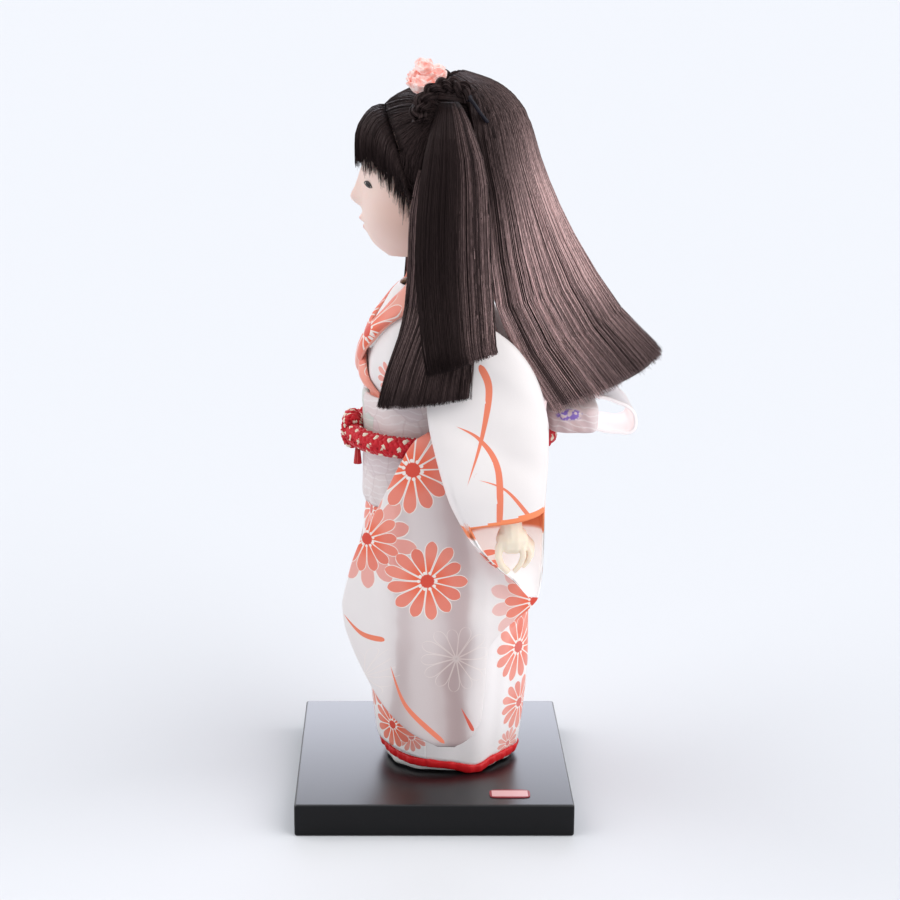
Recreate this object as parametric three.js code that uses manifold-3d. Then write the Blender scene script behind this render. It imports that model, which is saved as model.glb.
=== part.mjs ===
// Ichimatsu doll in a printed kimono, standing on a lacquered board.
// Millimetres, +Z up. The doll faces -Y and its left hand is on +X.
// The origin is the centre of the board's underside. Heights below are above the board's top.

import * as THREE from "three";
import { mergeVertices } from "three/addons/utils/BufferGeometryUtils.js";
import Module from "manifold-3d";

// Fits and cloth
const CLEARANCE = 0.3;
const CLOTH = 1.2;

// Stand
const BOARD_WIDTH = 150;
const BOARD_DEPTH = 150;
const BOARD_THICKNESS = 18;
const BOARD_EDGE = 2.5;
const PEG_RADIUS = 2.5;
const PEG_SEAT = 10;
const PEG_REACH = 26;
const LABEL_LENGTH = 22;
const LABEL_WIDTH = 10;
const LABEL_THICKNESS = 0.5;
const LABEL_X = 61;
const LABEL_Y = 41;

// Body
const BODY_Y = 4;
const HEM_HALF_WIDTH = 33;
const KNEE_HALF_WIDTH = 39;
const WAIST_HALF_WIDTH = 38.5;
const CHEST_HALF_WIDTH = 42;
const HIP_HEIGHT = 119.5;
const TORSO_RISE = 20;
const LEG_RADIUS = 9.5;
const LEG_SPREAD = 12;
const TENON_RADIUS = 5;
const TENON_LENGTH = 14;

// Clothes
const HEM_HEIGHT = 8;
const HEM_RISE = 4;
const HEM_DIP = 3;
const HEM_ROLL = 5;
const UNDERSKIRT_HEM = 1.8;
const NECK_OPENING_RISE = 24;
const COLLAR_WIDTH = 13;
const UNDER_COLLAR = 0.7;
const COLLAR_GAP = 1.1;
const OBI_LOW = 151.5;
const OBI_HIGH = 212;
const OBI_THICKNESS = 3;
const TIE_WIDTH = 10;
const TIE_THICKNESS = 0.8;
const CORD_RADIUS = 5.2;
const CORD_HEIGHT = 189;
const CORD_KNOT = 20;
const BOW_KNOT_DEPTH = 14;
const BOW_KNOT_HALF_WIDTH = 13;
const DRUM_HALF_WIDTH = 21;
const DRUM_LENGTH = 52;
const DRUM_HEIGHT = 20;
const LOOP_LENGTH = 25;
const LOOP_DEPTH = 29;
const LOOP_HEIGHT = 22;
const BOW_CLOTH = 2;

// Arms
const SHOULDER_Y = 8;
const SHOULDER_HEIGHT = 246;
const WIRE_RADIUS = 1.6;
const WIRE_SEAT = 11;
const ARM_RADIUS = 5.7;
const WRIST_RADIUS = 5.5;
const WRIST_Y = 39;
const WRIST_HEIGHT = 158;
const BAG_THICKNESS = 3.6;
const BAG_CURL = 17;

// Head
const HEAD_Y = 3;
const HEAD_RISE = 84;
const HEAD_HALF_WIDTH = 38;
const NECK_RADIUS = 15;
const NECK_PEG_RADIUS = 5;
const NECK_PEG_LENGTH = 36;
const NOSE_REACH = 5;
const EYE_RADIUS = 6.5;
const EYE_SPREAD = 16.5;
const EYE_DROP = 7;
const HAIR_CAP = 3;
const FRINGE = 4.3;
const BACK_HAIR = 10;
const LOCK_THICKNESS = 5;
const LOCK_REST = 54.2;
const TAIL_THICKNESS = 6;
const BRAID_RADIUS = 4;
const PIN_RADIUS = 1.2;
const FLOWER_RADIUS = 9.4;

// Layers under and over the kimono's outer face, from the inside out
const UNDERSKIRT_FACE = -CLOTH - CLEARANCE;
const CORE_FACE = UNDERSKIRT_FACE - CLOTH - 2 * CLEARANCE;
const TIE_FACE = CLEARANCE + TIE_THICKNESS;
const OBI_FACE = TIE_FACE + CLEARANCE + OBI_THICKNESS;
const CORD_CENTRE = OBI_FACE + CLEARANCE + CORD_RADIUS;
const COLLAR_FACE = 5 * CLEARANCE + UNDER_COLLAR + COLLAR_GAP + CLOTH;
const SLEEVE_INSIDE = WAIST_HALF_WIDTH + CORD_CENTRE + CORD_RADIUS + 2 * CLEARANCE;

// Levels that go with the shoulders
const TORSO_TOP = SHOULDER_HEIGHT + TORSO_RISE;
const NECK_OPENING = SHOULDER_HEIGHT + NECK_OPENING_RISE;
const HEAD_HEIGHT = SHOULDER_HEIGHT + HEAD_RISE;

const ROUND = 28;
const DEG = Math.PI / 180;
const KNEE = KNEE_HALF_WIDTH / 39;
const WAIST = WAIST_HALF_WIDTH / 38.5;
const CHEST = CHEST_HALF_WIDTH / 42;
const HEAD = HEAD_HALF_WIDTH / 38;

const KIMONO_SECTIONS = [
  { height: 0, halfWidth: HEM_HALF_WIDTH, front: 31, back: 42.5 },
  { height: 24, halfWidth: HEM_HALF_WIDTH + 2, front: 34, back: 46 },
  { height: 61, halfWidth: KNEE_HALF_WIDTH - 1, front: 38 * KNEE, back: 49 * KNEE },
  { height: 90, halfWidth: KNEE_HALF_WIDTH + 1, front: 41 * KNEE, back: 49 * KNEE },
  { height: HIP_HEIGHT, halfWidth: KNEE_HALF_WIDTH + 1.5, front: 41 * KNEE, back: 45.5 * KNEE },
  { height: HIP_HEIGHT + 20.5, halfWidth: WAIST_HALF_WIDTH + 1, front: 39.5 * WAIST, back: 37.5 * WAIST },
  { height: OBI_LOW, halfWidth: WAIST_HALF_WIDTH, front: 38.2 * WAIST, back: 34 * WAIST },
  { height: OBI_HIGH, halfWidth: WAIST_HALF_WIDTH, front: 38.2 * WAIST, back: 33 * WAIST },
  { height: chestLevel(10 / 34), halfWidth: CHEST_HALF_WIDTH - 1, front: 41 * CHEST, back: 32.5 * CHEST },
  { height: chestLevel(24 / 34), halfWidth: CHEST_HALF_WIDTH, front: 39.5 * CHEST, back: 31.5 * CHEST },
  { height: SHOULDER_HEIGHT + 3, halfWidth: CHEST_HALF_WIDTH - 1.5, front: 36 * CHEST, back: 28.5 * CHEST },
  { height: SHOULDER_HEIGHT + 12, halfWidth: CHEST_HALF_WIDTH - 6, front: 31 * CHEST, back: 25 * CHEST },
  {
    height: SHOULDER_HEIGHT + 19,
    halfWidth: NECK_RADIUS + 14,
    front: NECK_RADIUS + 12,
    back: NECK_RADIUS + 7.5,
  },
  { height: NECK_OPENING, halfWidth: NECK_RADIUS + 8, front: NECK_RADIUS + 7.5, back: NECK_RADIUS + 6 },
];
const SKIRT_LEVELS = [18, 40, 64, 90, HIP_HEIGHT];
const CHEST_LEVELS = [
  HIP_HEIGHT + 18.5,
  OBI_LOW,
  OBI_HIGH,
  chestLevel(11 / 34),
  chestLevel(25 / 34),
  SHOULDER_HEIGHT + 4,
  SHOULDER_HEIGHT + 13,
  SHOULDER_HEIGHT + 19,
];

// Folds of the skirt: turn from the front, width, reach and the height of the fullest part.
const SKIRT_FOLDS = [
  { turn: 112, width: 11, reach: 3.4, height: 40 },
  { turn: 146, width: 12, reach: -2.6, height: 60 },
  { turn: -70, width: 13, reach: 2.6, height: 50 },
  { turn: -118, width: 12, reach: 3, height: 45 },
  { turn: -150, width: 12, reach: -2.6, height: 60 },
];

const HEAD_SECTIONS = [
  { height: HEAD_HEIGHT - 45.5, halfWidth: 10 * HEAD, front: 30, back: 4 },
  { height: HEAD_HEIGHT - 40, halfWidth: 20 * HEAD, front: 36.8, back: 18 },
  { height: HEAD_HEIGHT - 33, halfWidth: 28 * HEAD, front: 40.2, back: 27 },
  { height: HEAD_HEIGHT - 24, halfWidth: 33 * HEAD, front: 41.3, back: 34 },
  { height: HEAD_HEIGHT - 17, halfWidth: 35.6 * HEAD, front: 41.2, back: 37.6 },
  { height: HEAD_HEIGHT - 12, halfWidth: 37 * HEAD, front: 41, back: 39.5 },
  { height: HEAD_HEIGHT, halfWidth: HEAD_HALF_WIDTH, front: 40.3, back: 42 },
  { height: HEAD_HEIGHT + 13, halfWidth: 36.8 * HEAD, front: 39.3, back: 40.5 },
  { height: HEAD_HEIGHT + 25, halfWidth: 31.8 * HEAD, front: 33.8, back: 35 },
  { height: HEAD_HEIGHT + 34, halfWidth: 23.8 * HEAD, front: 25, back: 26.5 },
  { height: HEAD_HEIGHT + 39.5, halfWidth: 14 * HEAD, front: 14.5, back: 15.5 },
  { height: HEAD_HEIGHT + 42, halfWidth: 4 * HEAD, front: 4, back: 4 },
];

const SLEEVE_SECTIONS = [
  { height: WRIST_HEIGHT - 46, inside: 4, outside: 7, front: 49, back: 54.5 },
  { height: WRIST_HEIGHT - 36, inside: 4, outside: 9.5, front: 40, back: 56 },
  { height: WRIST_HEIGHT - 24, inside: 3.5, outside: 15, front: 26, back: 56.5 },
  { height: WRIST_HEIGHT - 6, inside: 3.5, outside: 30, front: 14.5, back: 56 },
  { height: armLevel(10 / 88), inside: 2.5, outside: 29, front: 6.4, back: 56.5 },
  { height: armLevel(35 / 88), inside: 0.6, outside: 21, front: -1, back: 58 },
  { height: armLevel(46 / 88), inside: 0.3, outside: 16.5, front: -3.5, back: 58 },
  { height: armLevel(54 / 88), inside: -4, outside: 13.6, front: -4.5, back: 57 },
  { height: armLevel(68 / 88), inside: -10.5, outside: 9, front: -5, back: 53 },
  { height: armLevel(84 / 88), inside: -11.3, outside: 3.5, front: -5, back: 43 },
  { height: SHOULDER_HEIGHT + 7, inside: -11, outside: -3, front: -3, back: 29 },
  { height: SHOULDER_HEIGHT + 12.5, inside: -10.5, outside: -6, front: 3, back: 16 },
];

// Places
function at(x, y, height) {
  return new THREE.Vector3(x, y, BOARD_THICKNESS + height);
}

function bump(value, centre, width) {
  return Math.exp(-(((value - centre) / width) ** 2));
}

function ramp(value, start, end) {
  const share = THREE.MathUtils.clamp((value - start) / (end - start), 0, 1);
  return share * share * (3 - 2 * share);
}

// A height between the wrist and the shoulder, and one between the obi and the shoulder
function armLevel(share) {
  return WRIST_HEIGHT + share * (SHOULDER_HEIGHT - WRIST_HEIGHT);
}

function chestLevel(share) {
  return OBI_HIGH + share * (SHOULDER_HEIGHT - OBI_HIGH);
}

// Smooth value of one field of a list of sections at a height.
function between(sections, field, height) {
  const last = sections.length - 1;
  let k = 0;
  while (k < last - 1 && sections[k + 1].height < height) k += 1;
  const rate = (i) => {
    const here = sections[i];
    const next = sections[i + 1];
    return (next[field] - here[field]) / (next.height - here.height);
  };
  const slope = (i) => {
    if (i === 0 || i === last) return rate(Math.min(i, last - 1));
    const below = rate(i - 1);
    const above = rate(i);
    return below * above > 0 ? (2 * below * above) / (below + above) : 0;
  };
  const low = sections[k];
  const high = sections[k + 1];
  const span = high.height - low.height;
  const t = THREE.MathUtils.clamp((height - low.height) / span, 0, 1);
  const rise = low[field] + (high[field] - low[field]) * t * t * (3 - 2 * t);
  return rise + span * t * (1 - t) * (slope(k) * (1 - t) - slope(k + 1) * t);
}

// One point of an oval that is flatter than an ellipse; turn 0 is the front, 90 the doll's left.
function oval(turn, halfWidth, front, back, squareness) {
  const soften = (v) => Math.sign(v) * Math.abs(v) ** (2 / squareness);
  const x = halfWidth * soften(Math.sin(turn * DEG));
  const y = -(Math.cos(turn * DEG) > 0 ? front : back) * soften(Math.cos(turn * DEG));
  return [x, y];
}

function skirtFolds(turn, height) {
  let reach = 0;
  for (const fold of SKIRT_FOLDS) {
    const away = THREE.MathUtils.euclideanModulo(turn - fold.turn + 180, 360) - 180;
    reach += fold.reach * bump(away, 0, fold.width) * bump(height, fold.height, 62);
  }
  return reach * ramp(height, 145, 110);
}

// A point of the kimono's outer face, moved outward by an offset.
function kimono(turn, height, offset) {
  const halfWidth = between(KIMONO_SECTIONS, "halfWidth", height);
  const front = between(KIMONO_SECTIONS, "front", height);
  const back = between(KIMONO_SECTIONS, "back", height);
  const [x, y] = oval(turn, halfWidth, front, back, 2.25);
  const depth = Math.cos(turn * DEG) > 0 ? front : back;
  const out = new THREE.Vector2(x / halfWidth ** 2, y / depth ** 2).normalize();
  const reach = offset + skirtFolds(turn, height);
  return at(x + out.x * reach, BODY_Y + y + out.y * reach, height);
}

function turns(count) {
  return Array.from({ length: count }, (_, k) => (360 * k) / count);
}

function hem(turn) {
  const away = THREE.MathUtils.euclideanModulo(turn - 10 + 180, 360) - 180;
  return HEM_HEIGHT + HEM_RISE * bump(away, 0, 45) - HEM_DIP * bump(turn, 112, 14);
}

// Solids
function closed(points, faces) {
  let volume = 0;
  for (const [a, b, c] of faces) {
    volume += points[a].dot(new THREE.Vector3().crossVectors(points[b], points[c]));
  }
  const outward = volume < 0 ? faces.map(([a, b, c]) => [a, c, b]) : faces;
  const geometry = new THREE.BufferGeometry();
  const places = points.flatMap((p) => p.toArray());
  geometry.setAttribute("position", new THREE.Float32BufferAttribute(places, 3));
  geometry.setIndex(outward.flat());
  geometry.computeVertexNormals();
  return geometry;
}

function walls(faces, rings, count, first, inward) {
  for (let r = 0; r + 1 < rings; r += 1) {
    for (let k = 0; k < count; k += 1) {
      const a = first + r * count + k;
      const b = first + r * count + ((k + 1) % count);
      const c = b + count;
      const d = a + count;
      faces.push(inward ? [a, c, b] : [a, b, c]);
      faces.push(inward ? [a, d, c] : [a, c, d]);
    }
  }
}

// A solid through a list of rings, closed at both ends.
function loft(rings) {
  const count = rings[0].length;
  const points = rings.flat();
  const faces = [];
  walls(faces, rings.length, count, 0, false);
  const ends = [rings[0], rings[rings.length - 1]];
  for (const ring of ends) {
    const middle = new THREE.Vector3();
    ring.forEach((p) => middle.add(p));
    points.push(middle.divideScalar(count));
  }
  const top = (rings.length - 1) * count;
  for (let k = 0; k < count; k += 1) {
    const next = (k + 1) % count;
    faces.push([points.length - 2, next, k]);
    faces.push([points.length - 1, top + k, top + next]);
  }
  return closed(points, faces);
}

// A wall between two lists of rings, open at both ends.
function tube(outer, inner) {
  const count = outer[0].length;
  const half = outer.length * count;
  const points = [...outer.flat(), ...inner.flat()];
  const faces = [];
  walls(faces, outer.length, count, 0, false);
  walls(faces, inner.length, count, half, true);
  const top = half - count;
  for (let k = 0; k < count; k += 1) {
    const next = (k + 1) % count;
    faces.push([next, k, half + k], [next, half + k, half + next]);
    faces.push([top + k, top + next, half + top + next], [top + k, half + top + next, half + top + k]);
  }
  return closed(points, faces);
}

// A slab between two matching grids of points.
function slab(front, back) {
  const rows = front.length;
  const columns = front[0].length;
  const half = rows * columns;
  const points = [...front.flat(), ...back.flat()];
  const faces = [];
  for (let r = 0; r + 1 < rows; r += 1) {
    for (let c = 0; c + 1 < columns; c += 1) {
      const a = r * columns + c;
      const b = a + 1;
      const d = a + columns;
      const e = d + 1;
      faces.push([a, b, e], [a, e, d]);
      faces.push([half + a, half + e, half + b], [half + a, half + d, half + e]);
    }
  }
  const edge = [];
  for (let c = 0; c < columns - 1; c += 1) edge.push(c);
  for (let r = 0; r < rows - 1; r += 1) edge.push(r * columns + columns - 1);
  for (let c = columns - 1; c > 0; c -= 1) edge.push((rows - 1) * columns + c);
  for (let r = rows - 1; r > 0; r -= 1) edge.push(r * columns);
  edge.forEach((p, k) => {
    const q = edge[(k + 1) % edge.length];
    faces.push([q, p, half + p], [q, half + p, half + q]);
  });
  return closed(points, faces);
}

// A round bar along a smooth path; the radius is a function of the share of the length.
function bar(path, radius, sides, steps) {
  const curve = new THREE.CatmullRomCurve3(path);
  const frames = curve.computeFrenetFrames(steps, false);
  const rings = [];
  for (let s = 0; s <= steps; s += 1) {
    const centre = curve.getPointAt(s / steps);
    const size = radius(s / steps);
    const ring = turns(sides).map((turn) => {
      const side = frames.normals[s].clone().multiplyScalar(Math.cos(turn * DEG) * size);
      return side.addScaledVector(frames.binormals[s], Math.sin(turn * DEG) * size).add(centre);
    });
    rings.push(ring);
  }
  return loft(rings);
}

function cylinder(start, end, radius, sides) {
  return bar([start, end], () => radius, sides, 1);
}

function ball(centre, radii, sides) {
  const geometry = new THREE.SphereGeometry(1, sides, Math.round(sides / 2));
  geometry.scale(...radii);
  geometry.translate(centre.x, centre.y, centre.z);
  return geometry;
}

// A flat outline of across and height values, drawn along X.
function prism(outline, halfLength) {
  const ring = (x) => outline.map(([y, height]) => at(x, y, height));
  return loft([ring(-halfLength), ring(halfLength)]);
}

const wasm = await Module();
wasm.setup();

function body(geometry) {
  const bare = new THREE.BufferGeometry();
  bare.setAttribute("position", geometry.getAttribute("position"));
  bare.setIndex(geometry.getIndex());
  const joined = mergeVertices(bare, 1e-4);
  const vertProperties = new Float32Array(joined.getAttribute("position").array);
  const triVerts = new Uint32Array(joined.getIndex().array);
  return new wasm.Manifold(new wasm.Mesh({ numProp: 3, vertProperties, triVerts }));
}

function surface(solid) {
  const mesh = solid.simplify(0.05).getMesh();
  const geometry = new THREE.BufferGeometry();
  geometry.setAttribute("position", new THREE.Float32BufferAttribute(mesh.vertProperties, 3));
  geometry.setIndex(Array.from(mesh.triVerts));
  geometry.computeVertexNormals();
  return geometry;
}

function cut(geometry, ...tools) {
  return surface(tools.reduce((solid, tool) => solid.subtract(body(tool)), body(geometry)));
}

function join(...geometries) {
  return surface(geometries.map(body).reduce((sum, solid) => sum.add(solid)));
}

function common(a, b) {
  return surface(body(a).intersect(body(b)));
}

// The object
const doll = new THREE.Group();
doll.name = "ichimatsu_doll";

const finishes = {
  lacquer: { color: 0x101014, roughness: 0.25, metalness: 0 },
  wood: { color: 0xb08a5a, roughness: 0.6, metalness: 0 },
  paper: { color: 0xf0d9d9, roughness: 0.7, metalness: 0 },
  steel: { color: 0x9a9aa0, roughness: 0.4, metalness: 1 },
  cotton: { color: 0xf2efe8, roughness: 0.95, metalness: 0 },
  shell_white: { color: 0xf4e6d8, roughness: 0.45, metalness: 0 },
  print: { color: 0xf3e2dc, roughness: 0.55, metalness: 0 },
  red_silk: { color: 0xb3241f, roughness: 0.6, metalness: 0 },
  brocade: { color: 0xcdbfc9, roughness: 0.6, metalness: 0 },
  hair: { color: 0x2c2220, roughness: 0.5, metalness: 0 },
  coral: { color: 0xe8786b, roughness: 0.85, metalness: 0 },
  glass: { color: 0x1a1210, roughness: 0.05, metalness: 0 },
  horn: { color: 0x1c1716, roughness: 0.2, metalness: 0 },
};

function add(name, geometry, finish) {
  const mesh = new THREE.Mesh(geometry, new THREE.MeshStandardMaterial(finishes[finish]));
  mesh.name = name;
  doll.add(mesh);
}

const SIDES = [
  { label: "left", side: 1 },
  { label: "right", side: -1 },
];

// Stand
const legY = BODY_Y + 2;
const pegBottom = (side) => at(side * LEG_SPREAD, legY, -PEG_SEAT);
const pegTop = (side) => at(side * LEG_SPREAD, legY, PEG_REACH);
const boardOutline = new THREE.Shape();
const boardX = BOARD_WIDTH / 2 - BOARD_EDGE;
const boardY = BOARD_DEPTH / 2 - BOARD_EDGE;
boardOutline.moveTo(-boardX, -boardY);
boardOutline.lineTo(boardX, -boardY);
boardOutline.lineTo(boardX, boardY);
boardOutline.lineTo(-boardX, boardY);
boardOutline.closePath();
const boardBlock = new THREE.ExtrudeGeometry(boardOutline, {
  depth: BOARD_THICKNESS - 2 * BOARD_EDGE,
  bevelThickness: BOARD_EDGE,
  bevelSize: BOARD_EDGE,
  bevelSegments: 4,
});
boardBlock.translate(0, 0, BOARD_EDGE);
const pegRoom = (side) => {
  const low = pegBottom(side).setZ(pegBottom(side).z - CLEARANCE);
  const high = pegTop(side).setZ(pegTop(side).z + CLEARANCE);
  return cylinder(low, high, PEG_RADIUS + CLEARANCE, 12);
};
const pegRooms = SIDES.map(({ side }) => pegRoom(side));
add("base_board", cut(boardBlock, ...pegRooms), "lacquer");
for (const { label, side } of SIDES) {
  add(`${label}_foot_peg`, cylinder(pegBottom(side), pegTop(side), PEG_RADIUS, 12), "steel");
}
const labelRing = (height) => turns(20).map((turn) => {
  const [x, y] = oval(turn, LABEL_WIDTH / 2, LABEL_LENGTH / 2, LABEL_LENGTH / 2, 5);
  return at(LABEL_X + x, LABEL_Y + y, height);
});
add("label_plate", loft([labelRing(CLEARANCE / 3), labelRing(CLEARANCE / 3 + LABEL_THICKNESS)]), "paper");

// Legs and tabi
const FOOT_SECTIONS = [
  { height: -18, half: 3.2, top: 4.5 },
  { height: -14, half: 6.2, top: 6.5 },
  { height: -7, half: 7.6, top: 8.5 },
  { height: 3, half: 7.2, top: 11.5 },
  { height: 12, half: 7, top: 12.5 },
  { height: 17.5, half: 4.6, top: 10 },
];
function foot(side, grow) {
  const rings = FOOT_SECTIONS.map((section, k) => {
    const push = k === 0 ? -grow : k === FOOT_SECTIONS.length - 1 ? grow : 0;
    const low = 2 * CLEARANCE + CLOTH - grow;
    const middle = (low + section.top + grow) / 2;
    return turns(8).map((turn) => {
      const [x, z] = oval(turn, section.half + grow, middle - low, middle - low, 2.6);
      return at(side * LEG_SPREAD + x, section.height + push, middle + z);
    });
  });
  return loft(rings);
}
function leg(side, grow) {
  const ankle = 10;
  const radii = [
    [ankle, 6.6],
    [26, LEG_RADIUS - 1],
    [60, LEG_RADIUS + 0.5],
    [HIP_HEIGHT - CLEARANCE, LEG_RADIUS + 1.5],
  ];
  const rings = radii.map(([height, radius]) => turns(10).map((turn) => {
    const [x, y] = oval(turn, radius + grow, radius + grow, radius + grow, 2);
    return at(side * LEG_SPREAD + x, legY + y, height);
  }));
  return loft(rings);
}
const tenon = (side, grow) => {
  const low = at(side * LEG_SPREAD, legY, HIP_HEIGHT - 6);
  const high = at(side * LEG_SPREAD, legY, HIP_HEIGHT + TENON_LENGTH + grow);
  return cylinder(low, high, TENON_RADIUS + grow, 12);
};
for (const { label, side } of SIDES) {
  const limb = join(leg(side, 0), foot(side, 0), tenon(side, 0));
  add(`${label}_leg`, cut(limb, pegRoom(side)), "shell_white");
  const sock = foot(side, CLOTH + CLEARANCE);
  const room = join(foot(side, CLEARANCE), leg(side, CLEARANCE));
  add(`${label}_tabi`, cut(sock, room, pegRoom(side)), "cotton");
}

// Core of the body
function coreRing(height, offset) {
  return turns(ROUND / 2).map((turn) => kimono(turn, height, offset));
}
const waddingLow = 18;
const waddingHigh = HIP_HEIGHT - CLEARANCE;
const waddingLevels = [waddingLow, ...SKIRT_LEVELS.slice(1, -1), waddingHigh];
const wadding = loft(waddingLevels.map((height) => coreRing(height, CORE_FACE - 2 * CLEARANCE)));
const legRooms = SIDES.map(({ side }) => {
  const low = at(side * LEG_SPREAD, legY, 10);
  const high = at(side * LEG_SPREAD, legY, HIP_HEIGHT);
  return join(leg(side, CLEARANCE), cylinder(low, high, LEG_RADIUS + 1.9, 12));
});
add("leg_wadding", cut(wadding, ...legRooms), "cotton");

const shoulderX = CHEST_HALF_WIDTH + CORE_FACE;
const torsoLevels = [HIP_HEIGHT, ...CHEST_LEVELS.slice(0, -1), TORSO_TOP];
const wireStart = (side) => at(side * (shoulderX - WIRE_SEAT), SHOULDER_Y, SHOULDER_HEIGHT);
const wireSockets = SIDES.map(({ side }) => {
  const deep = at(side * (shoulderX - WIRE_SEAT - CLEARANCE), SHOULDER_Y, SHOULDER_HEIGHT);
  const out = at(side * (shoulderX + 5), SHOULDER_Y, SHOULDER_HEIGHT);
  return cylinder(deep, out, WIRE_RADIUS + CLEARANCE, 14);
});
const neckBottom = TORSO_TOP + CLEARANCE;
const pegLow = neckBottom - NECK_PEG_LENGTH * 0.6;
const pegHigh = pegLow + NECK_PEG_LENGTH;
const neckBore = cylinder(
  at(0, BODY_Y, pegLow - CLEARANCE),
  at(0, BODY_Y, pegHigh + CLEARANCE),
  NECK_PEG_RADIUS + CLEARANCE,
  20,
);
const tenonRooms = SIDES.map(({ side }) => tenon(side, CLEARANCE));
const torso = loft(torsoLevels.map((height) => coreRing(height, CORE_FACE)));
add("torso", cut(torso, ...wireSockets, neckBore, ...tenonRooms), "wood");

// Kimono body, underskirt and red hem
const armholes = SIDES.map(({ side }) => {
  const from = at(side * (shoulderX - 14), SHOULDER_Y, SHOULDER_HEIGHT);
  const to = at(side * (shoulderX + 12), SHOULDER_Y, SHOULDER_HEIGHT);
  return cylinder(from, to, ARM_RADIUS + 2 * CLEARANCE, 14);
});
function layer(levels, offset) {
  return levels.map((level) => turns(ROUND).map((turn) => kimono(turn, level(turn), offset)));
}
const flat = (height) => () => height;
const kimonoLevels = [hem, ...[...SKIRT_LEVELS, ...CHEST_LEVELS, NECK_OPENING].map(flat)];
const kimonoBody = tube(layer(kimonoLevels, 0), layer(kimonoLevels, -CLOTH));
add("kimono_body", cut(kimonoBody, ...armholes), "print");

const underskirtLevels = [UNDERSKIRT_HEM, ...SKIRT_LEVELS.slice(0, -1), waddingHigh].map(flat);
const underskirtOut = layer(underskirtLevels, UNDERSKIRT_FACE);
const underskirtIn = layer(underskirtLevels, UNDERSKIRT_FACE - CLOTH);
add("underskirt", tube(underskirtOut, underskirtIn), "cotton");

const rollTop = (turn) => hem(turn) - CLEARANCE;
const rollBottom = (turn) => Math.max(hem(turn) - HEM_ROLL, 0.4);
const rollMiddle = (turn) => (rollTop(turn) + rollBottom(turn)) / 2;
const rollOut = [...layer([rollBottom], 0), ...layer([rollMiddle], 0.8), ...layer([rollTop], 0)];
const rollIn = layer([rollBottom, rollMiddle, rollTop], -CLOTH);
add("hem_roll", tube(rollOut, rollIn), "red_silk");

// Front panel: it laps over the front from the doll's left side, and ends on its right.
const panelTop = OBI_LOW - CLEARANCE;
const PANEL_START = -62;
const PANEL_END = 78;
const PANEL_ROWS = 8;
const PANEL_COLUMNS = 14;
function panelEdge(turn) {
  return hem(turn) + 3 + 7 * ramp(turn, -30, PANEL_START);
}
function panelSwell(turn, height) {
  const fold = 2 * bump(turn, -14, 12) * bump(height, 60, 50);
  const edge = 1.5 * bump(turn, PANEL_START, 14) * bump(height, 40, 45);
  return (fold + edge) * ramp(height, panelTop, panelTop - 30);
}
function panelGrid(offset) {
  const rows = [];
  for (let r = 0; r <= PANEL_ROWS; r += 1) {
    const row = [];
    for (let c = 0; c <= PANEL_COLUMNS; c += 1) {
      const turn = PANEL_START + ((PANEL_END - PANEL_START) * c) / PANEL_COLUMNS;
      const height = THREE.MathUtils.lerp(panelTop, panelEdge(turn), r / PANEL_ROWS);
      row.push(kimono(turn, height, offset + panelSwell(turn, height)));
    }
    rows.push(row);
  }
  return rows;
}
add("kimono_front_panel", slab(panelGrid(3 * CLEARANCE + CLOTH), panelGrid(3 * CLEARANCE)), "print");

// Collars: one band round the neck, its left end over its right end on the chest
const COLLAR_STEPS = 28;
const COLLAR_PATH = [
  { height: 0, turn: 22, level: OBI_HIGH + 5 },
  { height: 0.14, turn: -3, level: chestLevel(20 / 34) },
  { height: 0.26, turn: -42, level: SHOULDER_HEIGHT + 12 },
  { height: 0.35, turn: -90, level: SHOULDER_HEIGHT + 25 },
  { height: 0.5, turn: -180, level: SHOULDER_HEIGHT + 27 },
  { height: 0.65, turn: -270, level: SHOULDER_HEIGHT + 25 },
  { height: 0.74, turn: -318, level: SHOULDER_HEIGHT + 12 },
  { height: 0.86, turn: -357, level: chestLevel(20 / 34) },
  { height: 1, turn: -382, level: OBI_HIGH + 5 },
];
function collarGrid(lift, offset, skip) {
  const rows = [];
  for (let r = skip; r <= COLLAR_STEPS - skip; r += 1) {
    const share = r / COLLAR_STEPS;
    const turn = between(COLLAR_PATH, "turn", share);
    const level = between(COLLAR_PATH, "level", share);
    const upright = ramp(Math.abs(share - 0.5), 0.26, 0.13);
    const over = (CLOTH + 2 * CLEARANCE) * ramp(share, 0.72, 0.81);
    const lean = (share < 0.5 ? 1 : -1) * (1 - upright);
    const row = [-0.5, 0, 0.5].map((across) => {
      const raised = across > 0 ? lift * upright : 0;
      const height = level + raised + across * COLLAR_WIDTH * (0.55 + 0.45 * upright);
      return kimono(turn + across * COLLAR_WIDTH * lean, height, offset + over);
    });
    rows.push(row);
  }
  return rows;
}
const collarBack = COLLAR_FACE - CLOTH;
const underBack = collarBack - COLLAR_GAP - UNDER_COLLAR;
add("kimono_collar", slab(collarGrid(0, COLLAR_FACE, 0), collarGrid(0, collarBack, 0)), "print");
const underFace = collarGrid(1.2, underBack + UNDER_COLLAR, 5);
add("under_collar", slab(underFace, collarGrid(1.2, underBack, 5)), "cotton");

// Obi and what ties it
const tieLevels = [-0.5, 0.5].map((end) => flat(CORD_HEIGHT - 14 + end * TIE_WIDTH));
add("waist_tie", tube(layer(tieLevels, TIE_FACE), layer(tieLevels, CLEARANCE)), "red_silk");
const obiLevels = [OBI_LOW, OBI_HIGH].map(flat);
add("obi_band", tube(layer(obiLevels, OBI_FACE), layer(obiLevels, OBI_FACE - OBI_THICKNESS)), "brocade");

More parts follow.
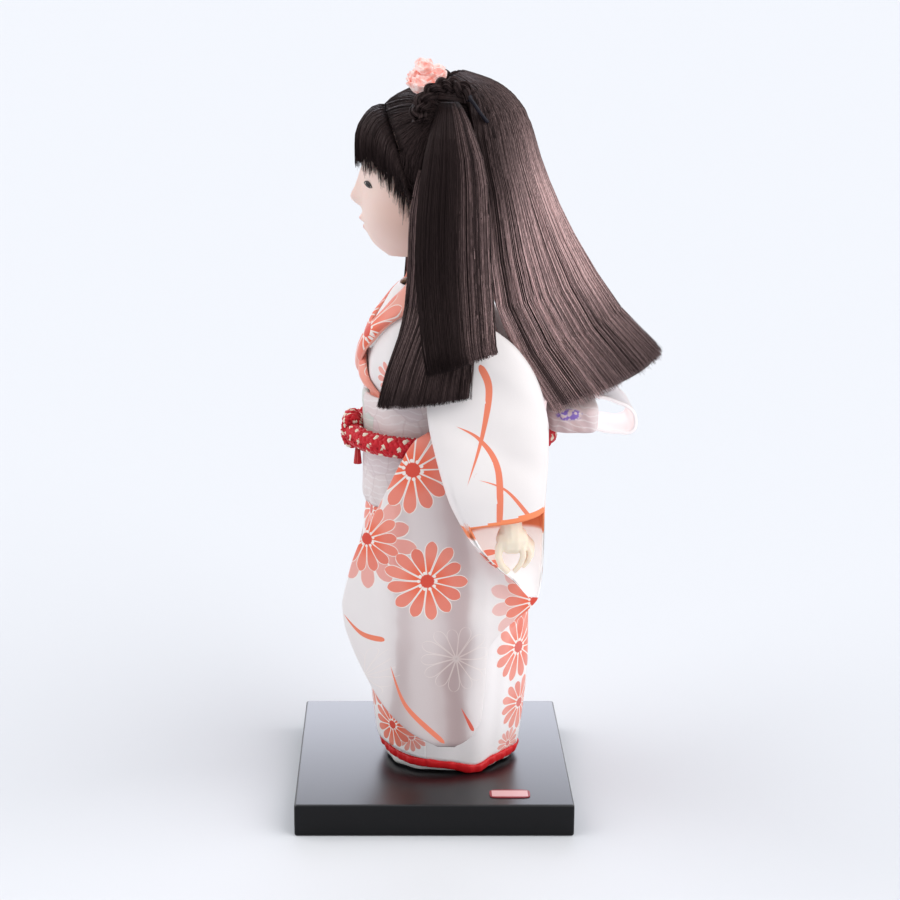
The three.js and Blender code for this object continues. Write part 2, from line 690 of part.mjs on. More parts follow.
const obiBack = kimono(180, CORD_HEIGHT, OBI_FACE).y;
const knotFront = obiBack + 2 * CLEARANCE;
const knotBack = knotFront + BOW_KNOT_DEPTH;
const knotLow = CORD_HEIGHT - 12;
const knotHigh = OBI_HIGH + 2;
const knotRing = (height, grow) => turns(16).map((turn) => {
  const half = BOW_KNOT_DEPTH / 2;
  const [x, y] = oval(turn, BOW_KNOT_HALF_WIDTH - grow, half, half - grow, 3.2);
  return at(x, knotFront + half + y, height);
});
const knotMiddle = (knotLow + knotHigh) / 2;
const knotRings = [knotRing(knotLow, 1.5), knotRing(knotMiddle, 0), knotRing(knotHigh, 1.5)];
add("obi_knot", loft(knotRings), "brocade");

const CORD_STEPS = 28;
const cordEnd = 13;
const cordRings = Array.from({ length: CORD_STEPS + 1 }, (_, k) => {
  const spot = (share) => {
    const turn = THREE.MathUtils.lerp(cordEnd, 360 - cordEnd, share);
    const behind = ramp(Math.abs(turn - 180), 62, 20);
    const round = kimono(turn, CORD_HEIGHT, CORD_CENTRE);
    return round.setY(round.y + (BOW_KNOT_DEPTH + 2 * CLEARANCE) * behind);
  };
  const centre = spot(k / CORD_STEPS);
  const step = 0.1 / CORD_STEPS;
  const along = spot(k / CORD_STEPS + step).sub(spot(k / CORD_STEPS - step)).normalize();
  const out = new THREE.Vector3(along.y, -along.x, 0);
  return turns(8).map((turn) => {
    const ring = centre.clone().addScaledVector(out, CORD_RADIUS * Math.cos(turn * DEG));
    return ring.setZ(ring.z + CORD_RADIUS * Math.sin(turn * DEG));
  });
});
add("obi_cord", loft(cordRings), "red_silk");

const knotY = kimono(0, CORD_HEIGHT, CORD_CENTRE).y;
const cordGap = kimono(cordEnd, CORD_HEIGHT, CORD_CENTRE).x - 2 * CLEARANCE;
const cordKnotRing = (x, size) => turns(12).map((turn) => {
  const y = knotY - 0.4 + CORD_RADIUS * size * Math.cos(turn * DEG);
  return at(x, y, CORD_HEIGHT + CORD_KNOT / 2 * size * Math.sin(turn * DEG));
});
const knotShape = [
  [-1, 0.62],
  [-0.6, 0.95],
  [0, 1],
  [0.6, 0.95],
  [1, 0.62],
];
const cordKnotRings = knotShape.map(([share, size]) => cordKnotRing(share * cordGap, size));
add("obi_cord_knot", loft(cordKnotRings), "red_silk");
const tailLow = CORD_HEIGHT - CORD_KNOT / 2 - CLEARANCE;
const tailY = (height) => kimono(6, height, OBI_FACE).y - CLEARANCE - 2.7;
const tailPath = [at(4, tailY(tailLow), tailLow - 0.5), at(6, tailY(tailLow), tailLow - 10)];
add("obi_cord_tail", bar(tailPath, (t) => 1.8 + 0.7 * t, 8, 2), "red_silk");

// Bow behind the obi: pillow, drum and two loops
const pillowY = kimono(180, OBI_HIGH + 8, 0).y;
const pillowRing = (x, radius) => turns(12).map((turn) => {
  const across = radius * Math.sin(turn * DEG);
  const up = radius * 0.85 * Math.cos(turn * DEG);
  return at(x, pillowY + CLEARANCE + 7 + across, knotHigh + CLEARANCE + 6 + up);
});
const pillowRings = [-17, -12, 0, 12, 17].map((x) => pillowRing(x, Math.abs(x) > 15 ? 4 : 6.6));
add("obi_pillow", loft(pillowRings), "cotton");

const drumStart = knotBack + CLEARANCE;
const drumLow = CORD_HEIGHT + CORD_RADIUS + 2;
const drumRing = (x, grow) => turns(24).map((turn) => {
  const half = DRUM_LENGTH / 2 - grow;
  const tall = DRUM_HEIGHT / 2 - grow;
  const [y, z] = oval(turn, half, tall, tall, 3);
  const droop = -9 * ((y + DRUM_LENGTH / 2) / DRUM_LENGTH) ** 1.6;
  return at(x, drumStart + DRUM_LENGTH / 2 + y, drumLow + DRUM_HEIGHT / 2 + z + droop);
});
const drumXs = [-DRUM_HALF_WIDTH, 0, DRUM_HALF_WIDTH];
const drum = tube(drumXs.map((x) => drumRing(x, 0)), drumXs.map((x) => drumRing(x, BOW_CLOTH)));
add("obi_drum", drum, "brocade");

for (const { label, side } of SIDES) {
  const loopRing = (share, grow) => turns(22).map((turn) => {
    const [x, y] = oval(turn, LOOP_LENGTH / 2 - grow, LOOP_DEPTH / 2 - grow, LOOP_DEPTH / 2 - grow, 2.6);
    const out = (x + LOOP_LENGTH / 2) / LOOP_LENGTH;
    const swell = 1 - 0.18 * (1 - out);
    const low = drumLow - 1 + 2 * (1 - out);
    const height = low + share * LOOP_HEIGHT * (1 - 0.42 * out);
    const inner = DRUM_HALF_WIDTH + CLEARANCE + LOOP_LENGTH / 2;
    return at(side * (inner + x), drumStart + 1 + LOOP_DEPTH / 2 + y * swell, height);
  });
  const shares = [0, 0.5, 1];
  const loop = tube(shares.map((s) => loopRing(s, 0)), shares.map((s) => loopRing(s, BOW_CLOTH)));
  add(`${label}_bow_loop`, loop, "brocade");
}

// Arms, hands and sleeves
for (const { label, side } of SIDES) {
  const place = (x, y, height) => at(side * x, y, height);
  const wristX = SLEEVE_INSIDE + 20.5;
  const run = wristX - shoulderX;
  const drop = SHOULDER_HEIGHT - WRIST_HEIGHT;
  const lean = WRIST_Y - SHOULDER_Y;
  const along = (t) => {
    const out = shoulderX + run * (0.2 + 0.8 * t) + 3 * Math.sin(Math.PI * t);
    return place(out, SHOULDER_Y + lean * t, SHOULDER_HEIGHT - drop * t);
  };
  const elbowPath = [
    place(shoulderX + 7.5, SHOULDER_Y, SHOULDER_HEIGHT),
    along(0.1),
    along(0.32),
    along(0.6),
    along(0.84),
  ];
  const padStart = place(shoulderX + 2 * CLEARANCE, SHOULDER_Y, SHOULDER_HEIGHT);
  const wirePath = [wireStart(side), padStart, ...elbowPath, along(0.94)];
  const wire = bar(wirePath, () => WIRE_RADIUS, 6, 12);
  const wireRoom = bar(wirePath, () => WIRE_RADIUS + CLEARANCE, 6, 12);
  add(`${label}_arm_wire`, wire, "steel");
  const padRadius = (t) => THREE.MathUtils.lerp(ARM_RADIUS, WRIST_RADIUS, t);
  const pad = bar([padStart, ...elbowPath], padRadius, 10, 8);
  add(`${label}_arm_pad`, cut(pad, wireRoom), "cotton");

  const wrist = place(wristX, WRIST_Y, WRIST_HEIGHT);
  const reach = (x, y, height) => wrist.clone().add(new THREE.Vector3(side * x, y, height));
  const cuffEnd = along(0.84).lerp(along(1), 0.06);
  const forearm = bar([cuffEnd, wrist, reach(0, 0, -9)], (t) => WRIST_RADIUS + 0.8 * t, 10, 2);
  const palm = ball(reach(0, 0.3, -9.5), [6.6, 8.6, 8.4], 10);
  const thumbPath = [
    reach(2, -4.5, -9),
    reach(2.5, -7, -16),
    reach(2.2, -5.4, -22.5),
    reach(1.6, -1.4, -27),
  ];
  const thumb = bar(thumbPath, (t) => 2.6 - 0.7 * t, 6, 4);
  const fingers = [
    [reach(2.4, 3.5, -9), reach(2.6, 6.2, -16.5), reach(2.4, 4.6, -22.5), reach(2, 1.4, -26.6)],
    [reach(-0.2, 4.6, -9), reach(-0.4, 9.3, -15.5), reach(-0.6, 9, -21), reach(-0.8, 5.8, -25)],
    [reach(-2.8, 5, -8.5), reach(-3.2, 10.6, -14.5), reach(-3.4, 10.6, -19.5), reach(-3.4, 7.8, -23)],
    [reach(-5, 5, -8), reach(-5.8, 10.8, -13.5), reach(-6, 11, -18), reach(-6, 8.8, -21)],
  ].map((path) => bar(path, (t) => 2.2 - 0.6 * t, 5, 4));
  const hand = join(forearm, palm, thumb, ...fingers);
  add(`${label}_hand`, cut(hand, wireRoom), "shell_white");

  const cuff = (y) => WRIST_HEIGHT - 4 + 7.5 * ((y - 23) / 31);
  const bottom = SLEEVE_SECTIONS[0].height;
  const top = SLEEVE_SECTIONS[SLEEVE_SECTIONS.length - 1].height;
  const ring = (share, grow) => turns(20).map((turn) => {
    const open = turn > 40 && turn < 165;
    const low = open ? cuff(20 + (34 * (turn - 40)) / 125) : bottom;
    const height = THREE.MathUtils.lerp(top, low, share);
    const inside = SLEEVE_INSIDE + between(SLEEVE_SECTIONS, "inside", height) + grow;
    const outside = SLEEVE_INSIDE + between(SLEEVE_SECTIONS, "outside", height) - grow;
    const front = between(SLEEVE_SECTIONS, "front", height) + grow;
    const back = between(SLEEVE_SECTIONS, "back", height) - grow;
    const half = (back - front) / 2;
    const [x, y] = oval(turn, (outside - inside) / 2, half, half, 2.5);
    return place((inside + outside) / 2 + x, (front + back) / 2 + y, height);
  });
  const shares = [0, 0.07, 0.17, 0.3, 0.45, 0.62, 0.8, 1];
  const sleeve = tube(shares.map((s) => ring(s, 0)), shares.map((s) => ring(s, CLOTH)));
  const armhole = cylinder(
    place(shoulderX, SHOULDER_Y, SHOULDER_HEIGHT),
    place(shoulderX + 10, SHOULDER_Y, SHOULDER_HEIGHT),
    ARM_RADIUS + 5.5,
    14,
  );
  add(`${label}_sleeve`, cut(sleeve, armhole), "print");
}

// Long bags of the sleeves, hanging beside the skirt; each section has its front and back edge
const BAG_SECTIONS = [
  { height: WRIST_HEIGHT - 132.4, front: 2, back: 11 },
  { height: WRIST_HEIGHT - 130, front: -3, back: 15 },
  { height: WRIST_HEIGHT - 125, front: -12, back: 20.5 },
  { height: WRIST_HEIGHT - 114, front: -24.8, back: 25.5 },
  { height: WRIST_HEIGHT - 95, front: -36.7, back: 27 },
  { height: WRIST_HEIGHT - 78, front: -45, back: 28.5 },
  { height: WRIST_HEIGHT - 67, front: -48.5, back: 37 },
  { height: WRIST_HEIGHT - 57, front: -49.5, back: 50 },
  { height: WRIST_HEIGHT - 50, front: -48.3, back: 55.5 },
  { height: WRIST_HEIGHT - 42, front: -46.5, back: 50 },
  { height: WRIST_HEIGHT - 31, front: -43.7, back: 38 },
  { height: WRIST_HEIGHT - 17, front: -38.5, back: 27 },
  { height: armLevel(6 / 88), front: -27.3, back: 16 },
  { height: armLevel(25 / 88), front: -18.3, back: 7.5 },
  { height: armLevel(38 / 88), front: -10.5, back: 2 },
  { height: armLevel(42 / 88), front: -4, back: 0 },
];
const BAG_POINTS = 18;
function bagX(y, height) {
  const drop = WRIST_HEIGHT - height;
  const curl = BAG_CURL * Math.max((-8 - y) / 42, 0) ** 2;
  const ridge = 2.4 * bump(y, 21, 8) * ramp(drop, 46, 63);
  const inward = 0.3 * Math.max(y - 27, 0);
  const dent = 2 * bump(y, -24, 7) * ramp(drop, 8, 38);
  return SLEEVE_INSIDE + BAG_THICKNESS / 2 - CLEARANCE - curl + ridge - inward - dent;
}
for (const { label, side } of SIDES) {
  const rings = BAG_SECTIONS.map(({ height, front, back }) => turns(BAG_POINTS).map((turn) => {
    const share = 0.5 - 0.5 * Math.cos(turn * DEG);
    const y = THREE.MathUtils.lerp(front, back, share);
    const swell = Math.sign(Math.sin(turn * DEG)) * Math.abs(Math.sin(turn * DEG)) ** 0.7;
    return at(side * (bagX(y, height) + (BAG_THICKNESS / 2) * swell), y, height);
  }));
  add(`${label}_sleeve_bag`, loft(rings), "print");
}

// Head
const headTurns = (count) => turns(count).map((turn) => turn - 26 * Math.sin(turn * DEG));
const headCentre = at(0, HEAD_Y, HEAD_HEIGHT);
function headRings(grow, nose, count) {
  return HEAD_SECTIONS.map((section) => headTurns(count).map((turn) => {
    const [x, y] = oval(turn, section.halfWidth, section.front, section.back, 2.15);
    const front = Math.cos(turn * DEG) > 0.5;
    const reach = front ? nose * bump(x, 0, 6) * bump(section.height, HEAD_HEIGHT - 16, 7) : 0;
    const spot = at(x, HEAD_Y + y - reach, section.height);
    return spot.sub(headCentre).multiplyScalar(1 + grow / 40).add(headCentre);
  }));
}
const skull = loft(headRings(0, NOSE_REACH, 24));
const neck = cylinder(at(0, BODY_Y, neckBottom), at(0, BODY_Y, HEAD_HEIGHT - 30), NECK_RADIUS, 24);
const eyeY = HEAD_Y - 33.6;
const eyeAt = (side) => at(side * EYE_SPREAD * HEAD, eyeY, HEAD_HEIGHT - EYE_DROP);
const eyeRooms = SIDES.map(({ side }) => {
  const room = EYE_RADIUS + CLEARANCE;
  return ball(eyeAt(side), [room, room, room], 12);
});
add("head", cut(join(skull, neck), neckBore, ...eyeRooms), "shell_white");
add("neck_peg", cylinder(at(0, BODY_Y, pegLow), at(0, BODY_Y, pegHigh), NECK_PEG_RADIUS, 20), "wood");
for (const { label, side } of SIDES) {
  add(`${label}_eye`, ball(eyeAt(side), [EYE_RADIUS, EYE_RADIUS, EYE_RADIUS], 12), "glass");
}

// Hair close to the head
const room = loft(headRings(CLEARANCE, NOSE_REACH, 24));
const behindDivide = [
  [-10.5, HEAD_HEIGHT - 40],
  [80, HEAD_HEIGHT - 40],
  [80, HEAD_HEIGHT + 60],
  [-33, HEAD_HEIGHT + 60],
  [-27.6, HEAD_HEIGHT + 40],
  [-10.5, HEAD_HEIGHT - 11],
];
const frontOfDivide = [
  [-80, HEAD_HEIGHT + 1],
  [-41, HEAD_HEIGHT + 1],
  [-21, HEAD_HEIGHT - 6.5],
  [-12.2, HEAD_HEIGHT - 10],
  [-28.8, HEAD_HEIGHT + 39],
  [-35, HEAD_HEIGHT + 60],
  [-80, HEAD_HEIGHT + 60],
];
const capBlock = common(loft(headRings(HAIR_CAP, 0, 18)), prism(behindDivide, 80));
const neckRoom = cylinder(
  at(0, BODY_Y, neckBottom),
  at(0, BODY_Y, HEAD_HEIGHT - 30),
  NECK_RADIUS + CLEARANCE,
  24,
);
add("hair_cap", cut(capBlock, room, neckRoom), "hair");
const fringeBlock = common(loft(headRings(FRINGE, 0, 18)), prism(frontOfDivide, 80));
add("fringe", cut(fringeBlock, room, ...eyeRooms), "hair");

// Locks: flat bundles given by a front place, a back place, a thickness and an outward bulge
function bundle(side, stations) {
  const rings = stations.map(({ front, back, thick, bulge }) => {
    const start = at(...front);
    const end = at(...back);
    const across = end.clone().sub(start);
    const out = new THREE.Vector3(across.y, -across.x, 0).normalize();
    return turns(12).map((turn) => {
      const share = 0.5 - 0.5 * Math.cos(turn * DEG);
      const swell = bulge * 4 * share * (1 - share) + (thick / 2) * Math.sin(turn * DEG);
      const spot = start.clone().addScaledVector(across, share).addScaledVector(out, swell);
      return spot.setX(side * spot.x);
    });
  });
  return loft(rings);
}
const capX = HEAD_HALF_WIDTH + HAIR_CAP;
const lockX = SLEEVE_INSIDE - LOCK_REST;
const LOCK = [
  {
    front: [capX + 0.9, -9, HEAD_HEIGHT + 4],
    back: [capX + 1, 17, HEAD_HEIGHT + 4],
    thick: 1.2,
    bulge: 0.6,
  },
  {
    front: [capX - 0.5, -13.5, HEAD_HEIGHT - 18],
    back: [capX + 3.5, 22, HEAD_HEIGHT - 18],
    thick: 4,
    bulge: 1.5,
  },
  {
    front: [capX - 0.5, -14.5, HEAD_HEIGHT - 44],
    back: [capX + 5, 23, HEAD_HEIGHT - 44],
    thick: LOCK_THICKNESS,
    bulge: 2.5,
  },
  {
    front: [capX + 0.5, -16, SHOULDER_HEIGHT + 18],
    back: [capX + 10, 22, SHOULDER_HEIGHT + 18],
    thick: LOCK_THICKNESS,
    bulge: 4,
  },
  {
    front: [41 + lockX, -19, SHOULDER_HEIGHT + 2],
    back: [58.5 + lockX, 20, SHOULDER_HEIGHT + 4],
    thick: LOCK_THICKNESS,
    bulge: 7.5,
  },
  {
    front: [40 + lockX, -25, armLevel(72 / 88)],
    back: [64.5 + lockX, 19, armLevel(76 / 88)],
    thick: LOCK_THICKNESS,
    bulge: 10,
  },
  {
    front: [39 + lockX, -30, armLevel(52 / 88)],
    back: [69.5 + lockX, 18, armLevel(63 / 88)],
    thick: LOCK_THICKNESS,
    bulge: 11,
  },
];
const TAIL = [
  {
    front: [29.5, 2, HEAD_HEIGHT + 37],
    back: [30, 11.5, HEAD_HEIGHT + 37],
    thick: 7,
    bulge: 0,
  },
  {
    front: [34.5, -0.5, HEAD_HEIGHT + 31],
    back: [36, 15.5, HEAD_HEIGHT + 31],
    thick: 8,
    bulge: 0.5,
  },
  {
    front: [capX + 1.5, -4, HEAD_HEIGHT + 20],
    back: [capX + 3, 20, HEAD_HEIGHT + 20],
    thick: 8,
    bulge: 1,
  },
  {
    front: [capX + 5.5, -7.5, HEAD_HEIGHT + 4],
    back: [capX + 6.5, 25, HEAD_HEIGHT + 4],
    thick: TAIL_THICKNESS,
    bulge: 1.5,
  },
  {
    front: [capX + 7.5, -10, HEAD_HEIGHT - 18],
    back: [capX + 10.5, 27, HEAD_HEIGHT - 18],
    thick: TAIL_THICKNESS,
    bulge: 2,
  },
  {
    front: [capX + 10, -10.8, HEAD_HEIGHT - 44],
    back: [capX + 13.5, 28, HEAD_HEIGHT - 44],
    thick: TAIL_THICKNESS,
    bulge: 2,
  },
  {
    front: [capX + 14.5, -9, SHOULDER_HEIGHT + 18],
    back: [capX + 19, 29.5, SHOULDER_HEIGHT + 18],
    thick: TAIL_THICKNESS,
    bulge: 3,
  },
  {
    front: [63 + lockX, -7, SHOULDER_HEIGHT],
    back: [67 + lockX, 30, SHOULDER_HEIGHT + 4],
    thick: TAIL_THICKNESS,
    bulge: 4,
  },
  {
    front: [67 + lockX, -4.5, armLevel(74.5 / 88)],
    back: [70.5 + lockX, 31, armLevel(87 / 88)],
    thick: TAIL_THICKNESS,
    bulge: 4,
  },
];
for (const { label, side } of SIDES) {
  add(`${label}_side_lock`, bundle(side, LOCK), "hair");
  add(`${label}_ponytail`, bundle(side, TAIL), "hair");
}

// Braids, flowers and pins at the roots of the ponytails
for (const { label, side } of SIDES) {
  const place = (x, y, height) => at(side * x, y, height);
  const arch = [
    place(37.5, -8, HEAD_HEIGHT + 28),
    place(35.5, -9, HEAD_HEIGHT + 34),
    place(32.5, -3.5, HEAD_HEIGHT + 41.5),
    place(32, 4, HEAD_HEIGHT + 45.5),
    place(32.5, 11, HEAD_HEIGHT + 45),
    place(34, 17.5, HEAD_HEIGHT + 40),
  ];
  add(`${label}_braid`, bar(arch, () => BRAID_RADIUS, 8, 10), "hair");
  const flowerAt = place(17.5, -6, HEAD_HEIGHT + 49);
  const flowerRing = (share, rise) => turns(20).map((turn) => {
    const radius = FLOWER_RADIUS * share * (0.86 + 0.14 * Math.cos(5 * turn * DEG));
    const wide = radius * Math.cos(turn * DEG);
    const tall = radius * Math.sin(turn * DEG);
    const spot = flowerAt.clone();
    spot.x += side * (rise * 0.45 - tall * 0.89);
    spot.y += wide;
    spot.z += rise * 0.89 + tall * 0.45;
    return spot;
  });
  const flower = loft([flowerRing(0.5, -7), flowerRing(1, -3), flowerRing(0.96, 3), flowerRing(0.5, 7.5)]);
  add(`${label}_flower`, flower, "coral");
  const pinPath = [
    place(36.5, 21, HEAD_HEIGHT + 37),
    place(35.5, 24.5, HEAD_HEIGHT + 33.5),
    place(35, 28, HEAD_HEIGHT + 28.5),
  ];
  add(`${label}_hairpin`, bar(pinPath, () => PIN_RADIUS, 6, 8), "horn");
}

// Back hair: over the head first, then falling out behind over the bow
const HEAD_ROWS = [HEAD_HEIGHT + 41, HEAD_HEIGHT + 35, HEAD_HEIGHT + 24];
const FALL = [
  { height: HEAD_HEIGHT + 8, y: 55, side: HEAD_HEIGHT + 6, x: capX + 1, sideY: 21, thick: 6 },
  { height: HEAD_HEIGHT - 10, y: 62, side: HEAD_HEIGHT - 12, x: capX + 3, sideY: 24.5, thick: 8 },
  { height: HEAD_HEIGHT - 30, y: 71.5, side: HEAD_HEIGHT - 34, x: capX + 4.5, sideY: 26, thick: 9 },
  { height: SHOULDER_HEIGHT + 30, y: 85.5, side: SHOULDER_HEIGHT + 20, x: capX + 4, sideY: 29, thick: 10 },
  { height: SHOULDER_HEIGHT + 7, y: 101.5, side: armLevel(80 / 88), x: capX + 2.5, sideY: 41, thick: 11 },
  { height: armLevel(72 / 88), y: 124.5, side: armLevel(50 / 88), x: capX + 9.5, sideY: 60.5, thick: 11 },
];
const HAIR_SHARES = Array.from({ length: 13 }, (_, k) => -1 + k / 6);
function backHair(inward) {
  const lowest = HAIR_CAP + 3 * CLEARANCE;
  const rows = HEAD_ROWS.map((height) => HAIR_SHARES.map((share) => {
    const halfWidth = between(HEAD_SECTIONS, "halfWidth", height);
    const back = between(HEAD_SECTIONS, "back", height);
    const taper = inward ? 0 : 1 - 0.45 * Math.abs(share) ** 3;
    const swing = 66 + 8 * ramp(height, HEAD_HEIGHT + 41, HEAD_HEIGHT + 10);
    const [x, y] = oval(180 - swing * share, halfWidth, back, back, 2.15);
    const spot = at(x, HEAD_Y + y, height);
    const size = 1 + (lowest + (BACK_HAIR - lowest) * taper) / 40;
    return spot.sub(headCentre).multiplyScalar(size).add(headCentre);
  }));
  for (const fall of FALL) {
    const depth = inward ? fall.thick : 0;
    const row = HAIR_SHARES.map((share) => {
      const turn = share * 88 * DEG;
      const back = Math.cos(turn);
      const x = (fall.x - depth * 0.5) * Math.sin(turn);
      const y = THREE.MathUtils.lerp(fall.sideY - depth * 0.02, fall.y - depth * 0.8, back);
      const height = THREE.MathUtils.lerp(fall.side, fall.height - depth * 0.55, back);
      return at(x, y, height);
    });
    rows.push(row);
  }
  return rows;
}
add("back_hair", slab(backHair(false), backHair(true)), "hair");

export default doll;
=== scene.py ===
import math

import bpy
import numpy as np
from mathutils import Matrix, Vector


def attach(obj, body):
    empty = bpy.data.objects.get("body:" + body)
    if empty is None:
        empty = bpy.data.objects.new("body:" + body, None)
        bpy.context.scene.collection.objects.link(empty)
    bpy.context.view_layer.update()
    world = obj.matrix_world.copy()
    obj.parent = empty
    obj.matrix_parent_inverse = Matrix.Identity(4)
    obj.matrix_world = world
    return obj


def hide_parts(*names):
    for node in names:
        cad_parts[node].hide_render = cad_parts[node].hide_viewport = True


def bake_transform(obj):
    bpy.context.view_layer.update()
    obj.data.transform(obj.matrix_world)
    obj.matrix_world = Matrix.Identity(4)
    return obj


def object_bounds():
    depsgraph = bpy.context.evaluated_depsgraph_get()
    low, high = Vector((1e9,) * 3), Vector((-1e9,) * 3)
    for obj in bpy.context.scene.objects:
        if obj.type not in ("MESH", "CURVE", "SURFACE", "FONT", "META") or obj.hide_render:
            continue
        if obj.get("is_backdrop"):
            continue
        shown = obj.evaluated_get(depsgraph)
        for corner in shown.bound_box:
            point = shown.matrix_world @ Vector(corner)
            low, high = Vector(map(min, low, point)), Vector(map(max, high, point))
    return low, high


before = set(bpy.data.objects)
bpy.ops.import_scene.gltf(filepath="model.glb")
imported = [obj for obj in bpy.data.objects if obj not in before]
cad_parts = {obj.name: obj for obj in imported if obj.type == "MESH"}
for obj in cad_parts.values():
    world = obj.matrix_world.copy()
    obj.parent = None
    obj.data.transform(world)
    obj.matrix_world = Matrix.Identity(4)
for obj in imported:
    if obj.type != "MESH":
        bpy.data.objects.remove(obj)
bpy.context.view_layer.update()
RNG = np.random.default_rng(7)
MM = 0.001
BOARD_TOP = 18.0
BODY_Y = 4.0
HEAD_Y, HEAD_HEIGHT = 3.0, 330.0
# hair grows outwards by its thickness at this distance from the middle of the head
HEAD_RADIUS = 40.0
HEAD_LOW, HEAD_HIGH = 283.8, 372.0
HEAD_SQUARENESS, KIMONO_SQUARENESS = 2.15, 2.25
SHOULDER_Y, SHOULDER_HEIGHT = 8.0, 246.0
SLEEVE_INSIDE = 54.2
SLEEVE_LOW, SLEEVE_HIGH = 111.6, 258.7
OBI_LOW, OBI_HIGH = 151.5, 212.0
CORD_HEIGHT, CORD_RADIUS, CORD_OFFSET = 189.0, 5.2, 9.9
SIDES = (("left", 1), ("right", -1))

# height, half width, front, back
KIMONO = np.array([
    (0, 33, 31, 42.5), (24, 35, 34, 46), (61, 38, 38, 49), (90, 40, 41, 49), (119.5, 40.5, 41, 45.5),
    (140, 39.5, 39.5, 37.5), (151.5, 38.5, 38.2, 34), (212, 38.5, 38.2, 33), (222, 41, 41, 32.5),
    (236, 42, 39.5, 31.5), (249, 40.5, 36, 28.5), (258, 36, 31, 25), (265, 29, 27, 22.5), (270, 23, 22.5, 21),
])
# turn, width, reach, height of the fullest part
FOLDS = [
    (112, 11, 3.4, 40), (146, 12, -2.6, 60), (-70, 13, 2.6, 50), (-118, 12, 3, 45), (-150, 12, -2.6, 60),
]
# height, half width, front, back
HEAD = np.array([
    (HEAD_LOW, 10, 27, 4), (290, 20.5, 34, 18), (297, 28, 38.7, 27), (306, 33, 41.3, 34),
    (313, 35.6, 41.7, 37.6), (318, 37, 42, 39.5), (330, 38, 41.8, 42), (343, 36.8, 40.2, 40.5),
    (355, 31.8, 34.2, 35), (364, 23.8, 25, 26.5), (369.5, 14, 14.5, 15.5), (HEAD_HIGH, 4, 4, 4),
])
# height, inside, outside, front, back
SLEEVE = np.array([
    (112, 4, 7, 49, 54.5), (122, 4, 9.5, 40, 56), (134, 3.5, 15, 26, 56.5), (152, 3.5, 30, 14.5, 56),
    (168, 2.5, 29, 6.4, 56.5), (193, 0.6, 21, -1, 58), (204, 0.3, 16.5, -3.5, 58), (212, -4, 13.6, -4.5, 57),
    (226, -10.5, 9, -5, 53), (242, -11.3, 3.5, -5, 43), (253, -11, -3, -3, 29), (258.5, -10.5, -6, 3, 16),
])
# height, front, back
BAG = np.array([
    (25.6, 2, 11), (28, -3, 15), (33, -12, 20.5), (44, -24.8, 25.5), (63, -36.7, 27), (80, -45, 28.5),
    (91, -48.5, 37), (101, -49.5, 50), (108, -48.3, 55.5), (116, -46.5, 50), (127, -43.7, 38),
    (141, -38.5, 27), (164, -27.3, 16), (183, -18.3, 7.5), (196, -10.5, 2), (200, -4, 0),
])
# share, turn, level
COLLAR = np.array([
    (0, 34, 203), (0.06, 20, 216), (0.14, -3, 232), (0.26, -42, 258), (0.35, -90, 271), (0.5, -180, 273),
    (0.65, -270, 271), (0.74, -318, 258), (0.86, -357, 232), (0.94, -380, 216), (1, -394, 203),
])
# front x, y, height, back x, y, height, thickness, bulge
LOCK = np.array([
    (41.9, -9, 334, 42, 17, 334, 1.2, 0.6), (40.5, -13.5, 312, 44.5, 22, 312, 4, 1.5),
    (40.5, -14.5, 286, 46, 23, 286, 5, 2.5), (41.5, -16, 264, 51, 22, 264, 5, 4),
    (41, -19, 248, 58.5, 20, 250, 5, 7.5), (40, -25, 230, 64.5, 19, 234, 5, 10),
    (39, -30, 210, 69.5, 18, 221, 5, 11),
])
TAIL = np.array([
    (29.5, 2, 367, 30, 11.5, 367, 7, 0), (34.5, -0.5, 361, 36, 15.5, 361, 8, 0.5),
    (42.5, -4, 350, 44, 20, 350, 8, 1), (46.5, -7.5, 334, 47.5, 25, 334, 6, 1.5),
    (48.5, -10, 312, 51.5, 27, 312, 6, 2), (51, -10.8, 286, 54.5, 28, 286, 6, 2),
    (55.5, -9, 264, 60, 29.5, 264, 6, 3), (63, -7, 246, 67, 30, 250, 6, 4),
    (67, -4.5, 232.5, 70.5, 31, 245, 6, 4),
])
# height behind, y behind, height at the side, x, y at the side, thickness
FALL = [
    (338, 55, 336, 42, 21, 6), (320, 62, 318, 44, 24.5, 8), (300, 71.5, 296, 45.5, 26, 9),
    (276, 85.5, 266, 45, 29, 10), (253, 101.5, 238, 43.5, 41, 11), (230, 124.5, 208, 50.5, 60.5, 11),
]
BRAID = np.array([
    (37.5, -8, 358), (35.5, -9, 364), (32.5, -3.5, 371.5), (32, 4, 375.5), (32.5, 11, 375), (34, 17.5, 370),
])


# Shapes
def at(x, y, height):
    return np.stack(np.broadcast_arrays(x, y, np.asarray(height, float) + BOARD_TOP), -1).astype(float)


def bump(value, centre, width):
    return np.exp(-(((value - centre) / width) ** 2))


def ramp(value, start, end):
    share = np.clip((value - start) / (end - start), 0, 1)
    return share * share * (3 - 2 * share)


def between(table, column, height):
    xs, ys = table[:, 0], table[:, column]
    rates = np.diff(ys) / np.diff(xs)
    low, high = rates[:-1], rates[1:]
    agree = low * high > 0
    middle = np.where(agree, 2 * low * high / np.where(agree, low + high, 1), 0)
    slopes = np.concatenate([rates[:1], middle, rates[-1:]])
    k = np.clip(np.searchsorted(xs, height) - 1, 0, len(xs) - 2)
    span = xs[k + 1] - xs[k]
    t = np.clip((height - xs[k]) / span, 0, 1)
    rise = ys[k] + (ys[k + 1] - ys[k]) * t * t * (3 - 2 * t)
    return rise + span * t * (1 - t) * (slopes[k] * (1 - t) - slopes[k + 1] * t)


